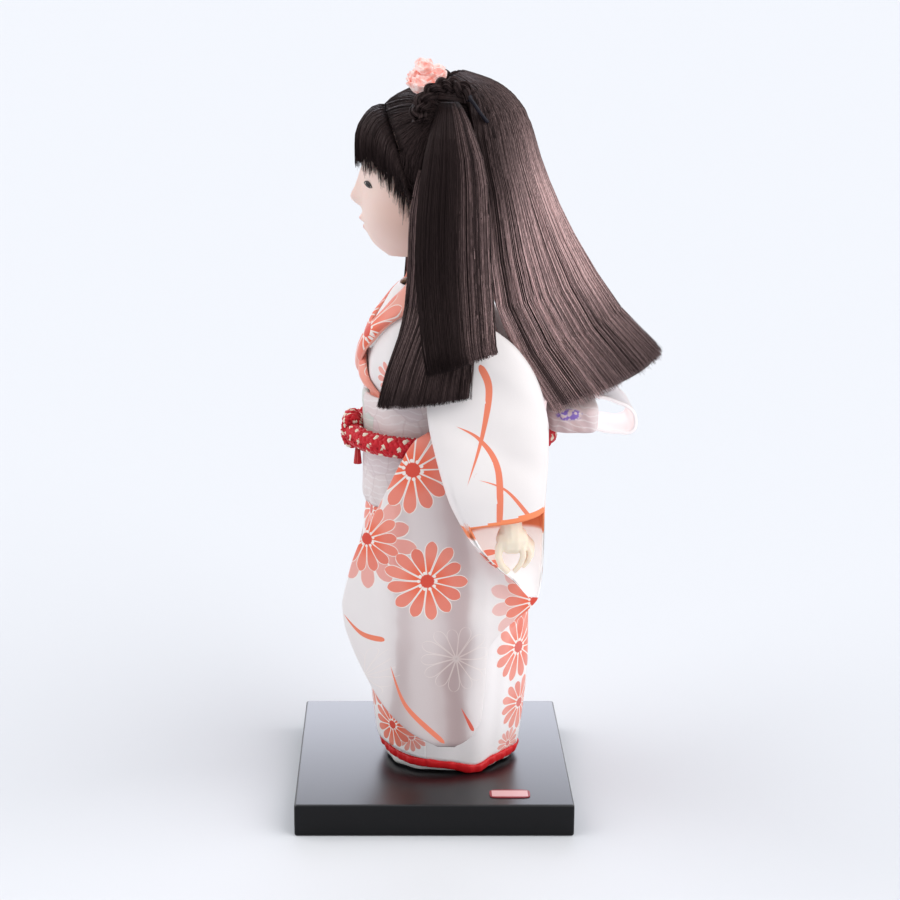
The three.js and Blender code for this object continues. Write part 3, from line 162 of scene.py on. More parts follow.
def smooth(points, shares):
    last = len(points) - 1
    t = np.clip(shares, 0, 1) * last
    k = np.minimum(t.astype(int), last - 1)
    f = (t - k).reshape(t.shape + (1,) * (points.ndim - 1))
    a, b = points[np.maximum(k - 1, 0)], points[k]
    c, d = points[k + 1], points[np.minimum(k + 2, last)]
    return 0.5 * (2 * b + (c - a) * f + (2 * a - 5 * b + 4 * c - d) * f**2 + (3 * b - a - 3 * c + d) * f**3)


def soften(value, squareness):
    return np.sign(value) * np.abs(value) ** (2 / squareness)


def oval(turn, half, front, back, squareness):
    sine, cosine = np.sin(np.radians(turn)), np.cos(np.radians(turn))
    return half * soften(sine, squareness), -np.where(cosine > 0, front, back) * soften(cosine, squareness)


# Nought at both ends of a grid, so that they close
def open_share(v):
    return np.where((v < 1e-6) | (v > 1 - 1e-6), 0.0, 1.0)


# The side of a closed section, nought at its two edges
def edge_sign(angle):
    sine = np.sin(angle)
    return np.where(np.abs(sine) < 1e-6, 0.0, np.sign(sine))


def away(turn, centre):
    return np.mod(turn - centre + 180, 360) - 180


def kimono(turn, height, offset=0.0):
    half, front, back = (between(KIMONO, k, height) for k in (1, 2, 3))
    x, y = oval(turn, half, front, back, KIMONO_SQUARENESS)
    depth = np.where(np.cos(np.radians(turn)) > 0, front, back)
    ox, oy = x / half**2, y / depth**2
    size = np.hypot(ox, oy)
    reach = sum(r * bump(away(turn, c), 0, w) * bump(height, h, 62) for c, w, r, h in FOLDS)
    reach = offset + reach * ramp(height, 145, 110)
    return at(x + ox / size * reach, BODY_Y + y + oy / size * reach, height)


def hem(turn):
    return 8 + 4 * bump(away(turn, 10), 0, 45) - 3 * bump(away(turn, 112), 0, 14)


HEAD_CENTRE = at(0, HEAD_Y, HEAD_HEIGHT)


def head_outline(turn, height):
    half, front, back = (between(HEAD, k, height) for k in (1, 2, 3))
    return oval(turn, half, front, back, HEAD_SQUARENESS)


def grown(points, grow):
    return (points - HEAD_CENTRE) * (1 + grow / HEAD_RADIUS) + HEAD_CENTRE


def head(turn, height, grow=0.0):
    x, y = head_outline(turn, height)
    return grown(at(x, HEAD_Y + y, height), np.asarray(grow)[..., None])


def on_head(points, grow):
    way = points - HEAD_CENTRE
    way /= np.linalg.norm(way, axis=-1, keepdims=True)
    low, high = np.full(way.shape[:-1], 5.0), np.full(way.shape[:-1], 70.0)
    for _ in range(26):
        middle = (low + high) / 2
        x, y, rise = np.moveaxis(middle[..., None] * way, -1, 0)
        height = np.clip(HEAD_HEIGHT + rise, HEAD_LOW + 0.1, HEAD_HIGH - 0.1)
        depth = np.where(y < 0, between(HEAD, 2, height), between(HEAD, 3, height))
        wide, deep = np.abs(x) / between(HEAD, 1, height), np.abs(y) / depth
        out = wide**HEAD_SQUARENESS + deep**HEAD_SQUARENESS > 1
        out |= HEAD_HEIGHT + rise > HEAD_HIGH - 0.1
        low, high = np.where(out, low, middle), np.where(out, middle, high)
    return HEAD_CENTRE + way * (low * (1 + np.asarray(grow) / HEAD_RADIUS))[..., None]


def wander(shape, size):
    return RNG.normal(0, size, shape)


# Mesh helpers
def only(obj):
    bpy.ops.object.select_all(action="DESELECT")
    obj.select_set(True)
    bpy.context.view_layer.objects.active = obj


def places(obj):
    co = np.empty(len(obj.data.vertices) * 3, np.float32)
    obj.data.vertices.foreach_get("co", co)
    return co.reshape(-1, 3).astype(float)


def place(obj, points):
    obj.data.vertices.foreach_set("co", points.astype(np.float32).ravel())
    obj.data.update()


def weld(obj, distance=0.00002):
    only(obj)
    bpy.ops.object.mode_set(mode="EDIT")
    bpy.ops.mesh.select_all(action="SELECT")
    bpy.ops.mesh.remove_doubles(threshold=distance)
    bpy.ops.mesh.dissolve_degenerate(threshold=0.000005)
    bpy.ops.mesh.normals_make_consistent(inside=False)
    bpy.ops.object.mode_set(mode="OBJECT")


def grid(name, across, along, shape, closed=False):
    bpy.ops.object.select_all(action="DESELECT")
    bpy.ops.mesh.primitive_grid_add(x_subdivisions=across, y_subdivisions=along, size=2)
    obj = bpy.context.object
    obj.name = obj.data.name = name
    co = places(obj)
    place(obj, shape((co[:, 0] + 1) / 2, (co[:, 1] + 1) / 2) * MM)
    if closed:
        weld(obj)
    return obj


def apply(obj, kind, **settings):
    only(obj)
    modifier = obj.modifiers.new(kind.lower(), kind)
    for key, value in settings.items():
        setattr(modifier, key, value)
    bpy.ops.object.modifier_apply(modifier=modifier.name)


def thicken(obj, wall, **settings):
    apply(obj, "SOLIDIFY", thickness=wall, offset=-1, **settings)


def line_inside(obj, outside, inside, wall):
    obj.data.materials.append(outside)
    obj.data.materials.append(inside)
    thicken(obj, wall, material_offset=1, material_offset_rim=1)
    return np.array([polygon.material_index for polygon in obj.data.polygons])


def join(pieces):
    only(pieces[0])
    for piece in pieces[1:]:
        piece.select_set(True)
    bpy.ops.object.join()
    return pieces[0]


def drop_faces(obj, chosen):
    only(obj)
    mesh = obj.data
    mesh.vertices.foreach_set("select", np.zeros(len(mesh.vertices), bool))
    mesh.edges.foreach_set("select", np.zeros(len(mesh.edges), bool))
    mesh.polygons.foreach_set("select", chosen)
    bpy.ops.object.mode_set(mode="EDIT")
    bpy.ops.mesh.select_mode(type="FACE")
    bpy.ops.mesh.delete(type="FACE")
    bpy.ops.object.mode_set(mode="OBJECT")


def middles(obj):
    co = np.empty(len(obj.data.polygons) * 3, np.float32)
    obj.data.polygons.foreach_get("center", co)
    return co.reshape(-1, 3).astype(float) / MM


def tubes(name, paths, radius, sides=3, tint_and_painted_light=None):
    paths = np.asarray(paths, float)
    count, steps, _ = paths.shape
    along = np.gradient(paths, axis=1)
    along /= np.linalg.norm(along, axis=2, keepdims=True) + 1e-9
    side = np.cross(along, np.array((0.36, 0.48, 0.8)))
    side /= np.linalg.norm(side, axis=2, keepdims=True) + 1e-9
    other = np.cross(along, side)
    radius = np.broadcast_to(np.asarray(radius, float), (count, steps))[..., None, None]
    angle = (np.arange(sides) * 2 * math.pi / sides)[None, None, :, None]
    ring = np.cos(angle) * side[:, :, None] + np.sin(angle) * other[:, :, None]
    points = (paths[:, :, None] + radius * ring).reshape(-1, 3) * MM
    index = np.arange(count * steps * sides).reshape(count, steps, sides)
    after = np.roll(index, -1, axis=2)
    quads = np.stack([index[:, :-1], after[:, :-1], after[:, 1:], index[:, 1:]], -1).reshape(-1, 4)
    faces = quads.tolist() + index[:, 0, ::-1].tolist() + index[:, -1].tolist()
    mesh = bpy.data.meshes.new(name)
    mesh.from_pydata(points, [], faces)
    if tint_and_painted_light is not None:
        tint_and_painted_light = np.broadcast_to(np.reshape(tint_and_painted_light, (count, -1)), (count, steps))
        layer = mesh.attributes.new("tint_and_painted_light", "FLOAT", "POINT")
        layer.data.foreach_set("value", np.repeat(tint_and_painted_light.ravel(), sides).astype(np.float32))
    obj = bpy.data.objects.new(name, mesh)
    bpy.context.collection.objects.link(obj)
    return obj


def copy_node(node, name):
    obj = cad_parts[node].copy()
    obj.data = obj.data.copy()
    obj.parent = None
    obj.name = obj.data.name = name
    for key in list(obj.keys()):
        del obj[key]
    bpy.context.collection.objects.link(obj)
    weld(obj, 0.00005)
    return obj


def bends_to(body, start, end):
    return body, *((0, BODY_Y * MM, (BOARD_TOP + height) * MM) for height in (start, end))


def done(obj, material, body, nodes=(), bends=None):
    only(obj)
    bpy.ops.object.shade_smooth()
    if not isinstance(material, tuple):
        material = (material,)
    obj.data.materials.clear()
    for one in material:
        obj.data.materials.append(one)
    if bends:
        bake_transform(obj)
    else:
        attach(obj, body)
    if nodes:
        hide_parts(*nodes)
    return obj


# Material helpers
def link(tree, value, socket):
    if isinstance(value, bpy.types.NodeSocket):
        tree.links.new(value, socket)
    elif isinstance(value, tuple) and len(value) == 3 and socket.type == "RGBA":
        socket.default_value = (*value, 1)
    else:
        socket.default_value = value


def add_node(tree, kind, inputs, **settings):
    made = tree.nodes.new("ShaderNode" + kind)
    for key, value in settings.items():
        setattr(made, key, value)
    for key, value in inputs.items():
        link(tree, value, made.inputs[key])
    return made.outputs


def calc(tree, operation, *values):
    return add_node(tree, "Math", dict(enumerate(values)), operation=operation)[0]


def times(tree, a, b):
    return calc(tree, "MULTIPLY", a, b)


def hypotenuse(tree, x, y):
    return calc(tree, "SQRT", calc(tree, "ADD", calc(tree, "POWER", x, 2.0), calc(tree, "POWER", y, 2.0)))


def step(tree, value, start, end):
    inputs = dict(enumerate((value, start, end, 0.0, 1.0)))
    return add_node(tree, "MapRange", inputs, interpolation_type="SMOOTHSTEP")[0]


def mix(tree, share, a, b):
    return add_node(tree, "Mix", {0: share, 6: a, 7: b}, data_type="RGBA")[2]


def curve(tree, value, points):
    node = tree.nodes.new("ShaderNodeFloatCurve")
    line = node.mapping.curves[0]
    line.points[0].location, line.points[-1].location = points[0], points[-1]
    for point in points[1:-1]:
        line.points.new(*point)
    node.mapping.update()
    link(tree, value, node.inputs[1])
    return node.outputs[0]


def noise(tree, coord, scale, detail=2.0, rough=0.5):
    inputs = {"Vector": coord, "Scale": scale, "Detail": detail, "Roughness": rough}
    return add_node(tree, "TexNoise", inputs)[0]


def attribute(tree, name, output="Vector"):
    return add_node(tree, "Attribute", {}, attribute_name=name)[output]


def object_place(tree):
    return add_node(tree, "TexCoord", {})["Object"]


def split(tree, vector):
    return add_node(tree, "SeparateXYZ", {0: vector})


def scaled(tree, coord, scale, shift=(0, 0, 0)):
    return add_node(tree, "Mapping", {"Vector": coord, "Scale": scale, "Location": shift})[0]


def spot(tree, coord, centre, radii, soft=0.3):
    scale = tuple(1 / (r * MM) for r in radii)
    shift = tuple(-c * MM * s for c, s in zip((centre[0], centre[1], centre[2] + BOARD_TOP), scale))
    far = add_node(tree, "VectorMath", {0: scaled(tree, coord, scale, shift)}, operation="LENGTH")["Value"]
    return step(tree, far, 1.0, 1.0 - soft)


def material(name, colour, rough=0.5, **inputs):
    made = bpy.data.materials.new(name)
    made.use_nodes = True
    tree = made.node_tree
    shader = tree.nodes["Principled BSDF"]
    for key, value in {"Base Color": colour, "Roughness": rough, **inputs}.items():
        link(tree, value, shader.inputs[key.replace("_", " ")])
    return made, tree, shader


def paint(tree, shader, colour, *sockets):
    for key in ("Base Color", *sockets):
        link(tree, colour, shader.inputs[key])


def raise_surface(tree, shader, height, strength, distance):
    inputs = {"Strength": strength, "Distance": distance, "Height": height}
    link(tree, add_node(tree, "Bump", inputs)[0], shader.inputs["Normal"])


def plain(name, colour, rough, scale, strength, distance, **inputs):
    made, tree, shader = material(name, colour, rough, **inputs)
    raise_surface(tree, shader, noise(tree, object_place(tree), scale), strength, distance)
    return made


CREAM = (0.93, 0.86, 0.80)
CLOTH_WHITE = (0.86, 0.815, 0.805)
GROUND_DARK, GROUND_LIGHT = (0.84, 0.785, 0.775), (0.90, 0.85, 0.84)
BLOOM_LAYERS = ("bloom_a", "bloom_b", "bloom_c")
BLADE_LAYERS = ("blade_a", "blade_b")
PETALS, DOTS = 13, 10
# along, half width
PETAL_WIDTH = [
    (0, 0), (0.12, 0.18), (0.3, 0.45), (0.5, 0.74), (0.7, 0.97), (0.8, 1), (0.89, 0.86), (0.96, 0.55), (1, 0),
]
BLADE_WIDTH = [(0, 0), (0.1, 0.2), (0.35, 0.6), (0.65, 0.95), (0.85, 1), (0.96, 0.75), (1, 0)]
# from the front of the bag to its back, how deep the painted shade of its folds is
BAG_PAINTED_SHADE = [
    (0, 0), (0.09, 0), (0.21, 0.25), (0.275, 0.7), (0.4, 0.47), (0.525, 0.65), (0.65, 1), (0.72, 0.6),
    (0.79, 0.1), (0.86, 0), (1, 0),
]


# A chrysanthemum of spoon petals with pale outlines; place holds across, up and how full its colour is
def chrysanthemum():
    group = bpy.data.node_groups.new("chrysanthemum", "ShaderNodeTree")
    group.interface.new_socket("Place", in_out="INPUT", socket_type="NodeSocketVector")
    group.interface.new_socket("Colour", in_out="OUTPUT", socket_type="NodeSocketColor")
    group.interface.new_socket("Cover", in_out="OUTPUT", socket_type="NodeSocketFloat")
    start, end = group.nodes.new("NodeGroupInput"), group.nodes.new("NodeGroupOutput")
    x, y, given = split(group, start.outputs[0])
    fill = calc(group, "MAXIMUM", given, 0.0)
    far = hypotenuse(group, x, y)
    turn = calc(group, "ARCTAN2", y, x)

    def sector(count):
        spread = times(group, turn, count / (2 * math.pi))
        number = calc(group, "ROUND", spread)
        bend = times(group, calc(group, "SUBTRACT", spread, number), 2 * math.pi / count)
        along = times(group, far, calc(group, "COSINE", bend))
        across = calc(group, "ABSOLUTE", times(group, far, calc(group, "SINE", bend)))
        return number, along, across

    number, along, across = sector(PETALS)
    number = calc(group, "MODULO", calc(group, "ADD", number, PETALS), PETALS)
    share = add_node(group, "TexWhiteNoise", {"W": number}, noise_dimensions="1D")["Value"]
    along = calc(group, "DIVIDE", along, calc(group, "MULTIPLY_ADD", share, 0.17, 0.83))
    width = times(group, curve(group, along, PETAL_WIDTH), 0.158)
    inside = calc(group, "SUBTRACT", width, across)
    petal = step(group, inside, -0.004, 0.008)
    face = step(group, inside, 0.016, 0.028)
    warm = mix(group, share, (0.80, 0.190, 0.130), (0.88, 0.270, 0.195))
    warm = mix(group, step(group, along, 0.2, 0.7), (0.86, 0.130, 0.050), warm)
    colour = mix(group, face, CREAM, warm)
    coloured = step(group, fill, 0.0, 0.1)
    heart = times(group, step(group, far, 0.17, 0.15), coloured)
    colour = mix(group, heart, colour, (0.70, 0.06, 0.03))
    _, ring_along, ring_across = sector(DOTS)
    dot = hypotenuse(group, calc(group, "SUBTRACT", ring_along, 0.2), ring_across)
    dots = times(group, step(group, dot, 0.046, 0.03), coloured)
    colour = mix(group, dots, colour, CREAM)
    filled = times(group, calc(group, "MAXIMUM", face, heart), fill)
    faint = calc(group, "MULTIPLY_ADD", fill, 0.55, 0.37)
    line = times(group, calc(group, "SUBTRACT", petal, face), faint)
    cover = calc(group, "MAXIMUM", calc(group, "MAXIMUM", filled, line), times(group, dots, 0.9))
    cover = times(group, cover, step(group, given, -0.6, -0.2))
    group.links.new(colour, end.inputs[0])
    group.links.new(cover, end.inputs[1])
    return group


BLOOM = chrysanthemum()


# Printed silk: a ground of random tone, painted light low on the robe, painted shade low and across the folds
# on the bags, then the blooms and blades
def printed(name, dark, light, low, painted_fold_shade=None):
    made, tree, shader = material(name, light, 0.46, Sheen_Weight=0.15, Sheen_Roughness=0.4)
    coord = object_place(tree)
    _, y, z = split(tree, coord)
    colour = mix(tree, noise(tree, coord, 45.0), dark, light)
    # colour painted near the bottom stands in for light and shade there: lighter on the robe, darker on the
    # bags
    colour = mix(tree, step(tree, z, 0.15, 0.05), colour, low)
    if painted_fold_shade:
        # painted shade across the bag's folds, darker low down
        across = calc(tree, "MULTIPLY_ADD", noise(tree, coord, 30.0), 0.016, y)
        deep = curve(tree, calc(tree, "MULTIPLY_ADD", across, 12.5, 0.4), painted_fold_shade)
        shade = mix(tree, step(tree, z, 0.115, 0.085), (0.56, 0.44, 0.435), (0.43, 0.32, 0.315))
        colour = mix(tree, deep, colour, shade)
    for layer in BLOOM_LAYERS:
        bloom = add_node(tree, "Group", {0: attribute(tree, layer)}, node_tree=BLOOM)
        colour = mix(tree, bloom["Cover"], colour, bloom["Colour"])
    for layer in BLADE_LAYERS:
        along, across, shade = split(tree, attribute(tree, layer))
        inside = calc(tree, "SUBTRACT", curve(tree, along, BLADE_WIDTH), calc(tree, "ABSOLUTE", across))
        tone = mix(tree, shade, (0.86, 0.22, 0.12), (0.62, 0.05, 0.03))
        shown = times(tree, step(tree, inside, 0.0, 0.12), step(tree, shade, -0.6, -0.2))
        colour = mix(tree, shown, colour, tone)
    paint(tree, shader, colour)
    raise_surface(tree, shader, noise(tree, coord, 1500.0, 1.0), 0.12, 0.0003)
    return made


PRINT = printed("printed_silk", GROUND_DARK, GROUND_LIGHT, (0.90, 0.86, 0.86))
COLLAR_PRINT = printed("printed_collar_silk", (0.86, 0.235, 0.16), (0.90, 0.47, 0.38), (0.86, 0.3, 0.2))
BAG_PRINT = printed("printed_silk_sheer", GROUND_DARK, GROUND_LIGHT, (0.80, 0.74, 0.735), BAG_PAINTED_SHADE)


# Inside of the sleeves: white that glows with painted light, orange just within the cuff, two petals lower
# down
def sleeve_lining():
    made, tree, shader = material("sleeve_lining", CLOTH_WHITE, 0.5, Emission_Strength=0.3)
    coord = object_place(tree)
    _, y, z = split(tree, coord)
    band = step(tree, calc(tree, "MULTIPLY_ADD", y, -0.07, z), 0.1645, 0.1675)
    colour = mix(tree, band, (0.90, 0.86, 0.85), (0.90, 0.25, 0.10))
    for _, side in SIDES:
        for centre in ((side * 58, 27, 136.6), (side * 58, 30, 131)):
            petal = spot(tree, coord, centre, (12, 6.5, 2.2), 0.12)
            face = spot(tree, coord, centre, (11, 6, 1.8), 0.12)
            colour = mix(tree, face, mix(tree, petal, colour, CREAM), (0.86, 0.24, 0.16))
    paint(tree, shader, colour)
    # the glow is painted light in the lining's own colour, faint on the orange band
    link(tree, mix(tree, band, colour, (0.2, 0.05, 0.02)), shader.inputs["Emission Color"])
    raise_surface(tree, shader, noise(tree, coord, 1500.0, 1.0), 0.12, 0.0003)
    return made


LINING = sleeve_lining()
RED = plain("red_silk", (0.60, 0.009, 0.013), 0.4, 900.0, 0.15, 0.0004, Specular_IOR_Level=0.3)
COTTON = plain("white_cotton", (0.86, 0.85, 0.83), 0.85, 1200.0, 0.25, 0.0004)


# Brocade: pale ground with fine woven lines, veined leaves and a little mint and violet
def brocade(name, ground, other, leaf, accent):
    made, tree, shader = material(name, ground, 0.5, Sheen_Weight=0.2)
    coord = object_place(tree)
    drift = add_node(tree, "TexNoise", {"Vector": coord, "Scale": 90.0})["Color"]
    inputs = {0: drift, 1: (0.006, 0.006, 0.006), 2: coord}
    bent = add_node(tree, "VectorMath", inputs, operation="MULTIPLY_ADD")[0]
    cells = {"Vector": bent, "Scale": 62.0}
    leaves, specks, _ = add_node(tree, "SeparateColor", {0: add_node(tree, "TexVoronoi", cells)["Color"]})
    edges = add_node(tree, "TexVoronoi", cells, feature="DISTANCE_TO_EDGE")["Distance"]
    rings = {"Vector": bent, "Scale": 90.0, "Distortion": 3.0}
    veins = add_node(tree, "TexWave", rings, wave_type="RINGS")["Fac"]
    weave = add_node(tree, "TexWave", {"Vector": coord, "Scale": 620.0}, bands_direction="Z")["Fac"]
    line = step(tree, edges, 0.035, 0.015)
    colour = mix(tree, noise(tree, coord, 70.0), ground, other)
    for mask, share, tone in (
        (step(tree, leaves, 0.55, 0.6), 0.55, leaf), (step(tree, specks, 0.8, 0.84), 0.5, accent),
        (step(tree, veins, 0.82, 0.95), 0.35, (0.9, 0.86, 0.86)), (line, 0.35, (0.58, 0.46, 0.46)),
    ):
        colour = mix(tree, times(tree, mask, share), colour, tone)
    paint(tree, shader, colour)
    height = calc(tree, "MULTIPLY_ADD", line, 0.6, times(tree, weave, 0.35))
    raise_surface(tree, shader, height, 0.25, 0.0004)
    return made, tree, shader, colour, coord


OBI, *_ = brocade(
    "obi_brocade", (0.72, 0.60, 0.59), (0.78, 0.70, 0.69), (0.68, 0.58, 0.60), (0.46, 0.66, 0.56))


# The bow has a violet leaf on each loop, and painted light makes its far end paler
def bow_brocade():
    made, tree, shader, colour, coord = brocade(
        "bow_brocade", (0.58, 0.38, 0.38), (0.68, 0.50, 0.49), (0.60, 0.44, 0.45), (0.72, 0.60, 0.59))
    for _, side in SIDES:
        leaf = spot(tree, coord, (side * 48, 70, 207), (14, 8, 3.4), 0.25)
        ribs = times(tree, leaf, step(tree, noise(tree, coord, 420.0, 1.0), 0.42, 0.56))
        colour = mix(tree, ribs, colour, (0.22, 0.12, 0.46))
    _, y, _ = split(tree, coord)
    # painted light: the far end, towards the back, is paler
    paint(tree, shader, mix(tree, times(tree, step(tree, y, 0.078, 0.09), 0.72), colour, (0.93, 0.87, 0.86)))
    return made


# The bow's lining: pale cloth of random tone that glows with painted light
def bow_lining():
    made, tree, shader = material("bow_lining", (0.93, 0.89, 0.885), 0.6, Emission_Strength=0.28)
    tone = noise(tree, object_place(tree), 90.0)
    paint(tree, shader, mix(tree, tone, (0.88, 0.79, 0.79), (0.93, 0.87, 0.87)), "Emission Color")
    return made


# Coral crepe of random tone that glows a little with painted light
def coral_crepe():
    made, tree, shader = material(
        "coral_crepe", (0.82, 0.30, 0.25), 0.8, Sheen_Weight=0.3, Emission_Strength=0.16)
    coord = object_place(tree)
    tone = step(tree, noise(tree, coord, 260.0, 3.0), 0.3, 0.62)
    paint(tree, shader, mix(tree, tone, (0.90, 0.33, 0.26), (1.0, 0.76, 0.72)), "Emission Color")
    raise_surface(tree, shader, noise(tree, coord, 1300.0), 0.6, 0.0008)
    return made


BOW, BOW_LINING, CORAL = bow_brocade(), bow_lining(), coral_crepe()


# Hair: each strand's tint holds its own tone with painted light and shade, up to a painted highlight colour,
# broken into painted glints; the core has a fine grain, painted lighter low down
def hair(name, grain):
    made, tree, shader = material(
        name, (0.02, 0.013, 0.012), 0.48, Specular_IOR_Level=0.16, Specular_Tint=(0.8, 0.55, 0.52))
    coord = object_place(tree)
    if grain:
        tint_and_painted_light = noise(tree, scaled(tree, coord, (1, 1, 0.06)), 1900.0, 2.0, 0.6)
        raise_surface(tree, shader, tint_and_painted_light, 0.5, 0.0006)
        _, _, z = split(tree, coord)
        # painted light: the core's grain is lighter low down, on the hanging hair
        tint_and_painted_light = times(tree, tint_and_painted_light, calc(tree, "MULTIPLY_ADD", step(tree, z, 0.32, 0.25), 0.1, 0.03))
    else:
        # painted glints: fine noise along the strands breaks up their tint
        along = noise(tree, scaled(tree, coord, (1, 1, 0.1)), 1900.0)
        painted_glints = calc(tree, "MULTIPLY_ADD", along, 2.4, -0.2)
        tint_and_painted_light = times(tree, attribute(tree, "tint_and_painted_light", "Fac"), calc(tree, "MAXIMUM", painted_glints, 0.2))
    paint(tree, shader, mix(tree, tint_and_painted_light, (0.010, 0.0066, 0.0068), (0.75, 0.5, 0.485)))
    return made


HAIR = hair("hair_strands", False)
HAIR_CORE = hair("hair_core", True)


# Lacquer: the top polished, the sides satin
def lacquer():
    made, tree, shader = material(
        "black_lacquer", (0.004, 0.004, 0.005), 0.3, Specular_IOR_Level=0.2, Coat_Roughness=0.3, Coat_IOR=1.5)
    coord = object_place(tree)
    x, _, z = split(tree, coord)
    gloss = calc(tree, "MULTIPLY_ADD", x, 1.5, 0.7)
    link(tree, times(tree, step(tree, z, 0.0172, 0.0178), gloss), shader.inputs["Coat Weight"])
    raise_surface(tree, shader, noise(tree, coord, 160.0, 1.0), 0.02, 0.0004)
    return made


# The blank label has a red rim
def label_paper():
    made, tree, shader = material("label_paper", (0.6, 0.3, 0.3), 0.5)
    x, y, _ = split(tree, object_place(tree))
    rims = []
    for value, middle, start in ((x, 0.061, 0.0036), (y, 0.041, 0.0096)):
        far = calc(tree, "ABSOLUTE", calc(tree, "SUBTRACT", value, middle))
        rims.append(step(tree, far, start, start + 0.0002))
    paint(tree, shader, mix(tree, calc(tree, "MAXIMUM", *rims), (0.72, 0.42, 0.42), (0.30, 0.03, 0.04)))
    return made


def bare_wood():
    made, tree, shader = material("bare_wood", (0.5, 0.33, 0.17), 0.6)
    grain = noise(tree, scaled(tree, object_place(tree), (1, 1, 0.08)), 260.0, 3.0)
    paint(tree, shader, mix(tree, grain, (0.42, 0.26, 0.12), (0.60, 0.42, 0.24)))
    return made


# Shell white skin, with lips and cheeks coloured where they are
def shell_white():
    made, tree, shader = material(
        "shell_white", (0.86, 0.64, 0.56), 0.45, Subsurface_Weight=0.15, Subsurface_Scale=0.003,
        Subsurface_Radius=(1.0, 0.45, 0.3))
    coord = object_place(tree)
    colour = mix(tree, noise(tree, coord, 120.0), (0.84, 0.625, 0.55), (0.87, 0.655, 0.58))
    cheeks = [spot(tree, coord, (side * 30, -18, 308), (20, 22, 26), 0.9) for _, side in SIDES]
    upper = spot(tree, coord, (0, -43, 304.0), (5.2, 9, 1.8), 0.4)
    lower = spot(tree, coord, (0, -41, 299.4), (4.2, 9, 1.7), 0.4)
    lips = calc(tree, "MAXIMUM", upper, lower)
    crease = spot(tree, coord, (0, -42, 301.8), (5.4, 9, 0.5), 0.6)
    blush = [(cheek, 0.55, (0.70, 0.41, 0.32)) for cheek in cheeks]
    for mask, share, tone in (*blush, (lips, 0.6, (0.66, 0.17, 0.13)), (crease, 0.6, (0.34, 0.08, 0.06))):
        colour = mix(tree, times(tree, mask, share), colour, tone)
    paint(tree, shader, colour)
    return made


# Eyes: a pale ball with a dark iris and pupil
def dark_glass():
    made, tree, shader = material("dark_glass", (0.02, 0.012, 0.01), 0.15, Specular_IOR_Level=0.1)
    coord = object_place(tree)
    colour = (0.66, 0.58, 0.54)
    for _, side in SIDES:
        iris = spot(tree, coord, (side * 15.9, -35, 323.4), (3.2, 9, 4.5), 0.12)
        pupil = spot(tree, coord, (side * 16, -35, 323.4), (1.5, 9, 1.6), 0.2)
        colour = mix(tree, iris, colour, (0.020, 0.010, 0.008))
        colour = mix(tree, pupil, colour, (0.004, 0.004, 0.004))
    paint(tree, shader, colour)
    return made


def dark_horn():
    made, tree, shader = material("dark_horn", (0.012, 0.01, 0.011), 0.25, Specular_IOR_Level=0.12)
    tone = noise(tree, object_place(tree), 200.0)
    paint(tree, shader, mix(tree, tone, (0.006, 0.005, 0.006), (0.02, 0.018, 0.03)))
    return made


# Braided silk: red strands, and pale ones where the tint says
def cord_silk():
    made, tree, shader = material("cord_silk", (0.62, 0.02, 0.02), 0.5, Specular_IOR_Level=0.3)
    paint(tree, shader, mix(tree, attribute(tree, "tint_and_painted_light", "Fac"), (0.60, 0.010, 0.022), (0.90, 0.80, 0.64)))
    raise_surface(tree, shader, noise(tree, object_place(tree), 2200.0), 0.3, 0.0003)
    return made


LACQUER, LABEL, WOOD = lacquer(), label_paper(), bare_wood()
SKIN, GLASS, HORN, CORD = shell_white(), dark_glass(), dark_horn(), cord_silk()
STEEL = plain("steel", (0.5, 0.5, 0.52), 0.35, 900.0, 0.05, 0.0002, Metallic=1.0)
HAND = plain(
    "hand_white", (0.94, 0.81, 0.65), 0.45, 500.0, 0.05, 0.0003,
    Subsurface_Weight=0.12, Subsurface_Scale=0.003)
LASH, *_ = material("lash", (0.012, 0.008, 0.007), 0.6)


# Prints: a bloom is (x, y, height, radius, layer, fill, spin), a blade (layer, half width, shade, places)
BLADE_STEPS = 60
# what a layer holds where it prints nothing
BLANK = (0.0, 9.0, -10.0)


def near_spot(points, normals, centre, facing):
    score = np.linalg.norm(points - centre, axis=1) + 40 * (normals @ facing < 0.2)
    return int(np.argmin(score))


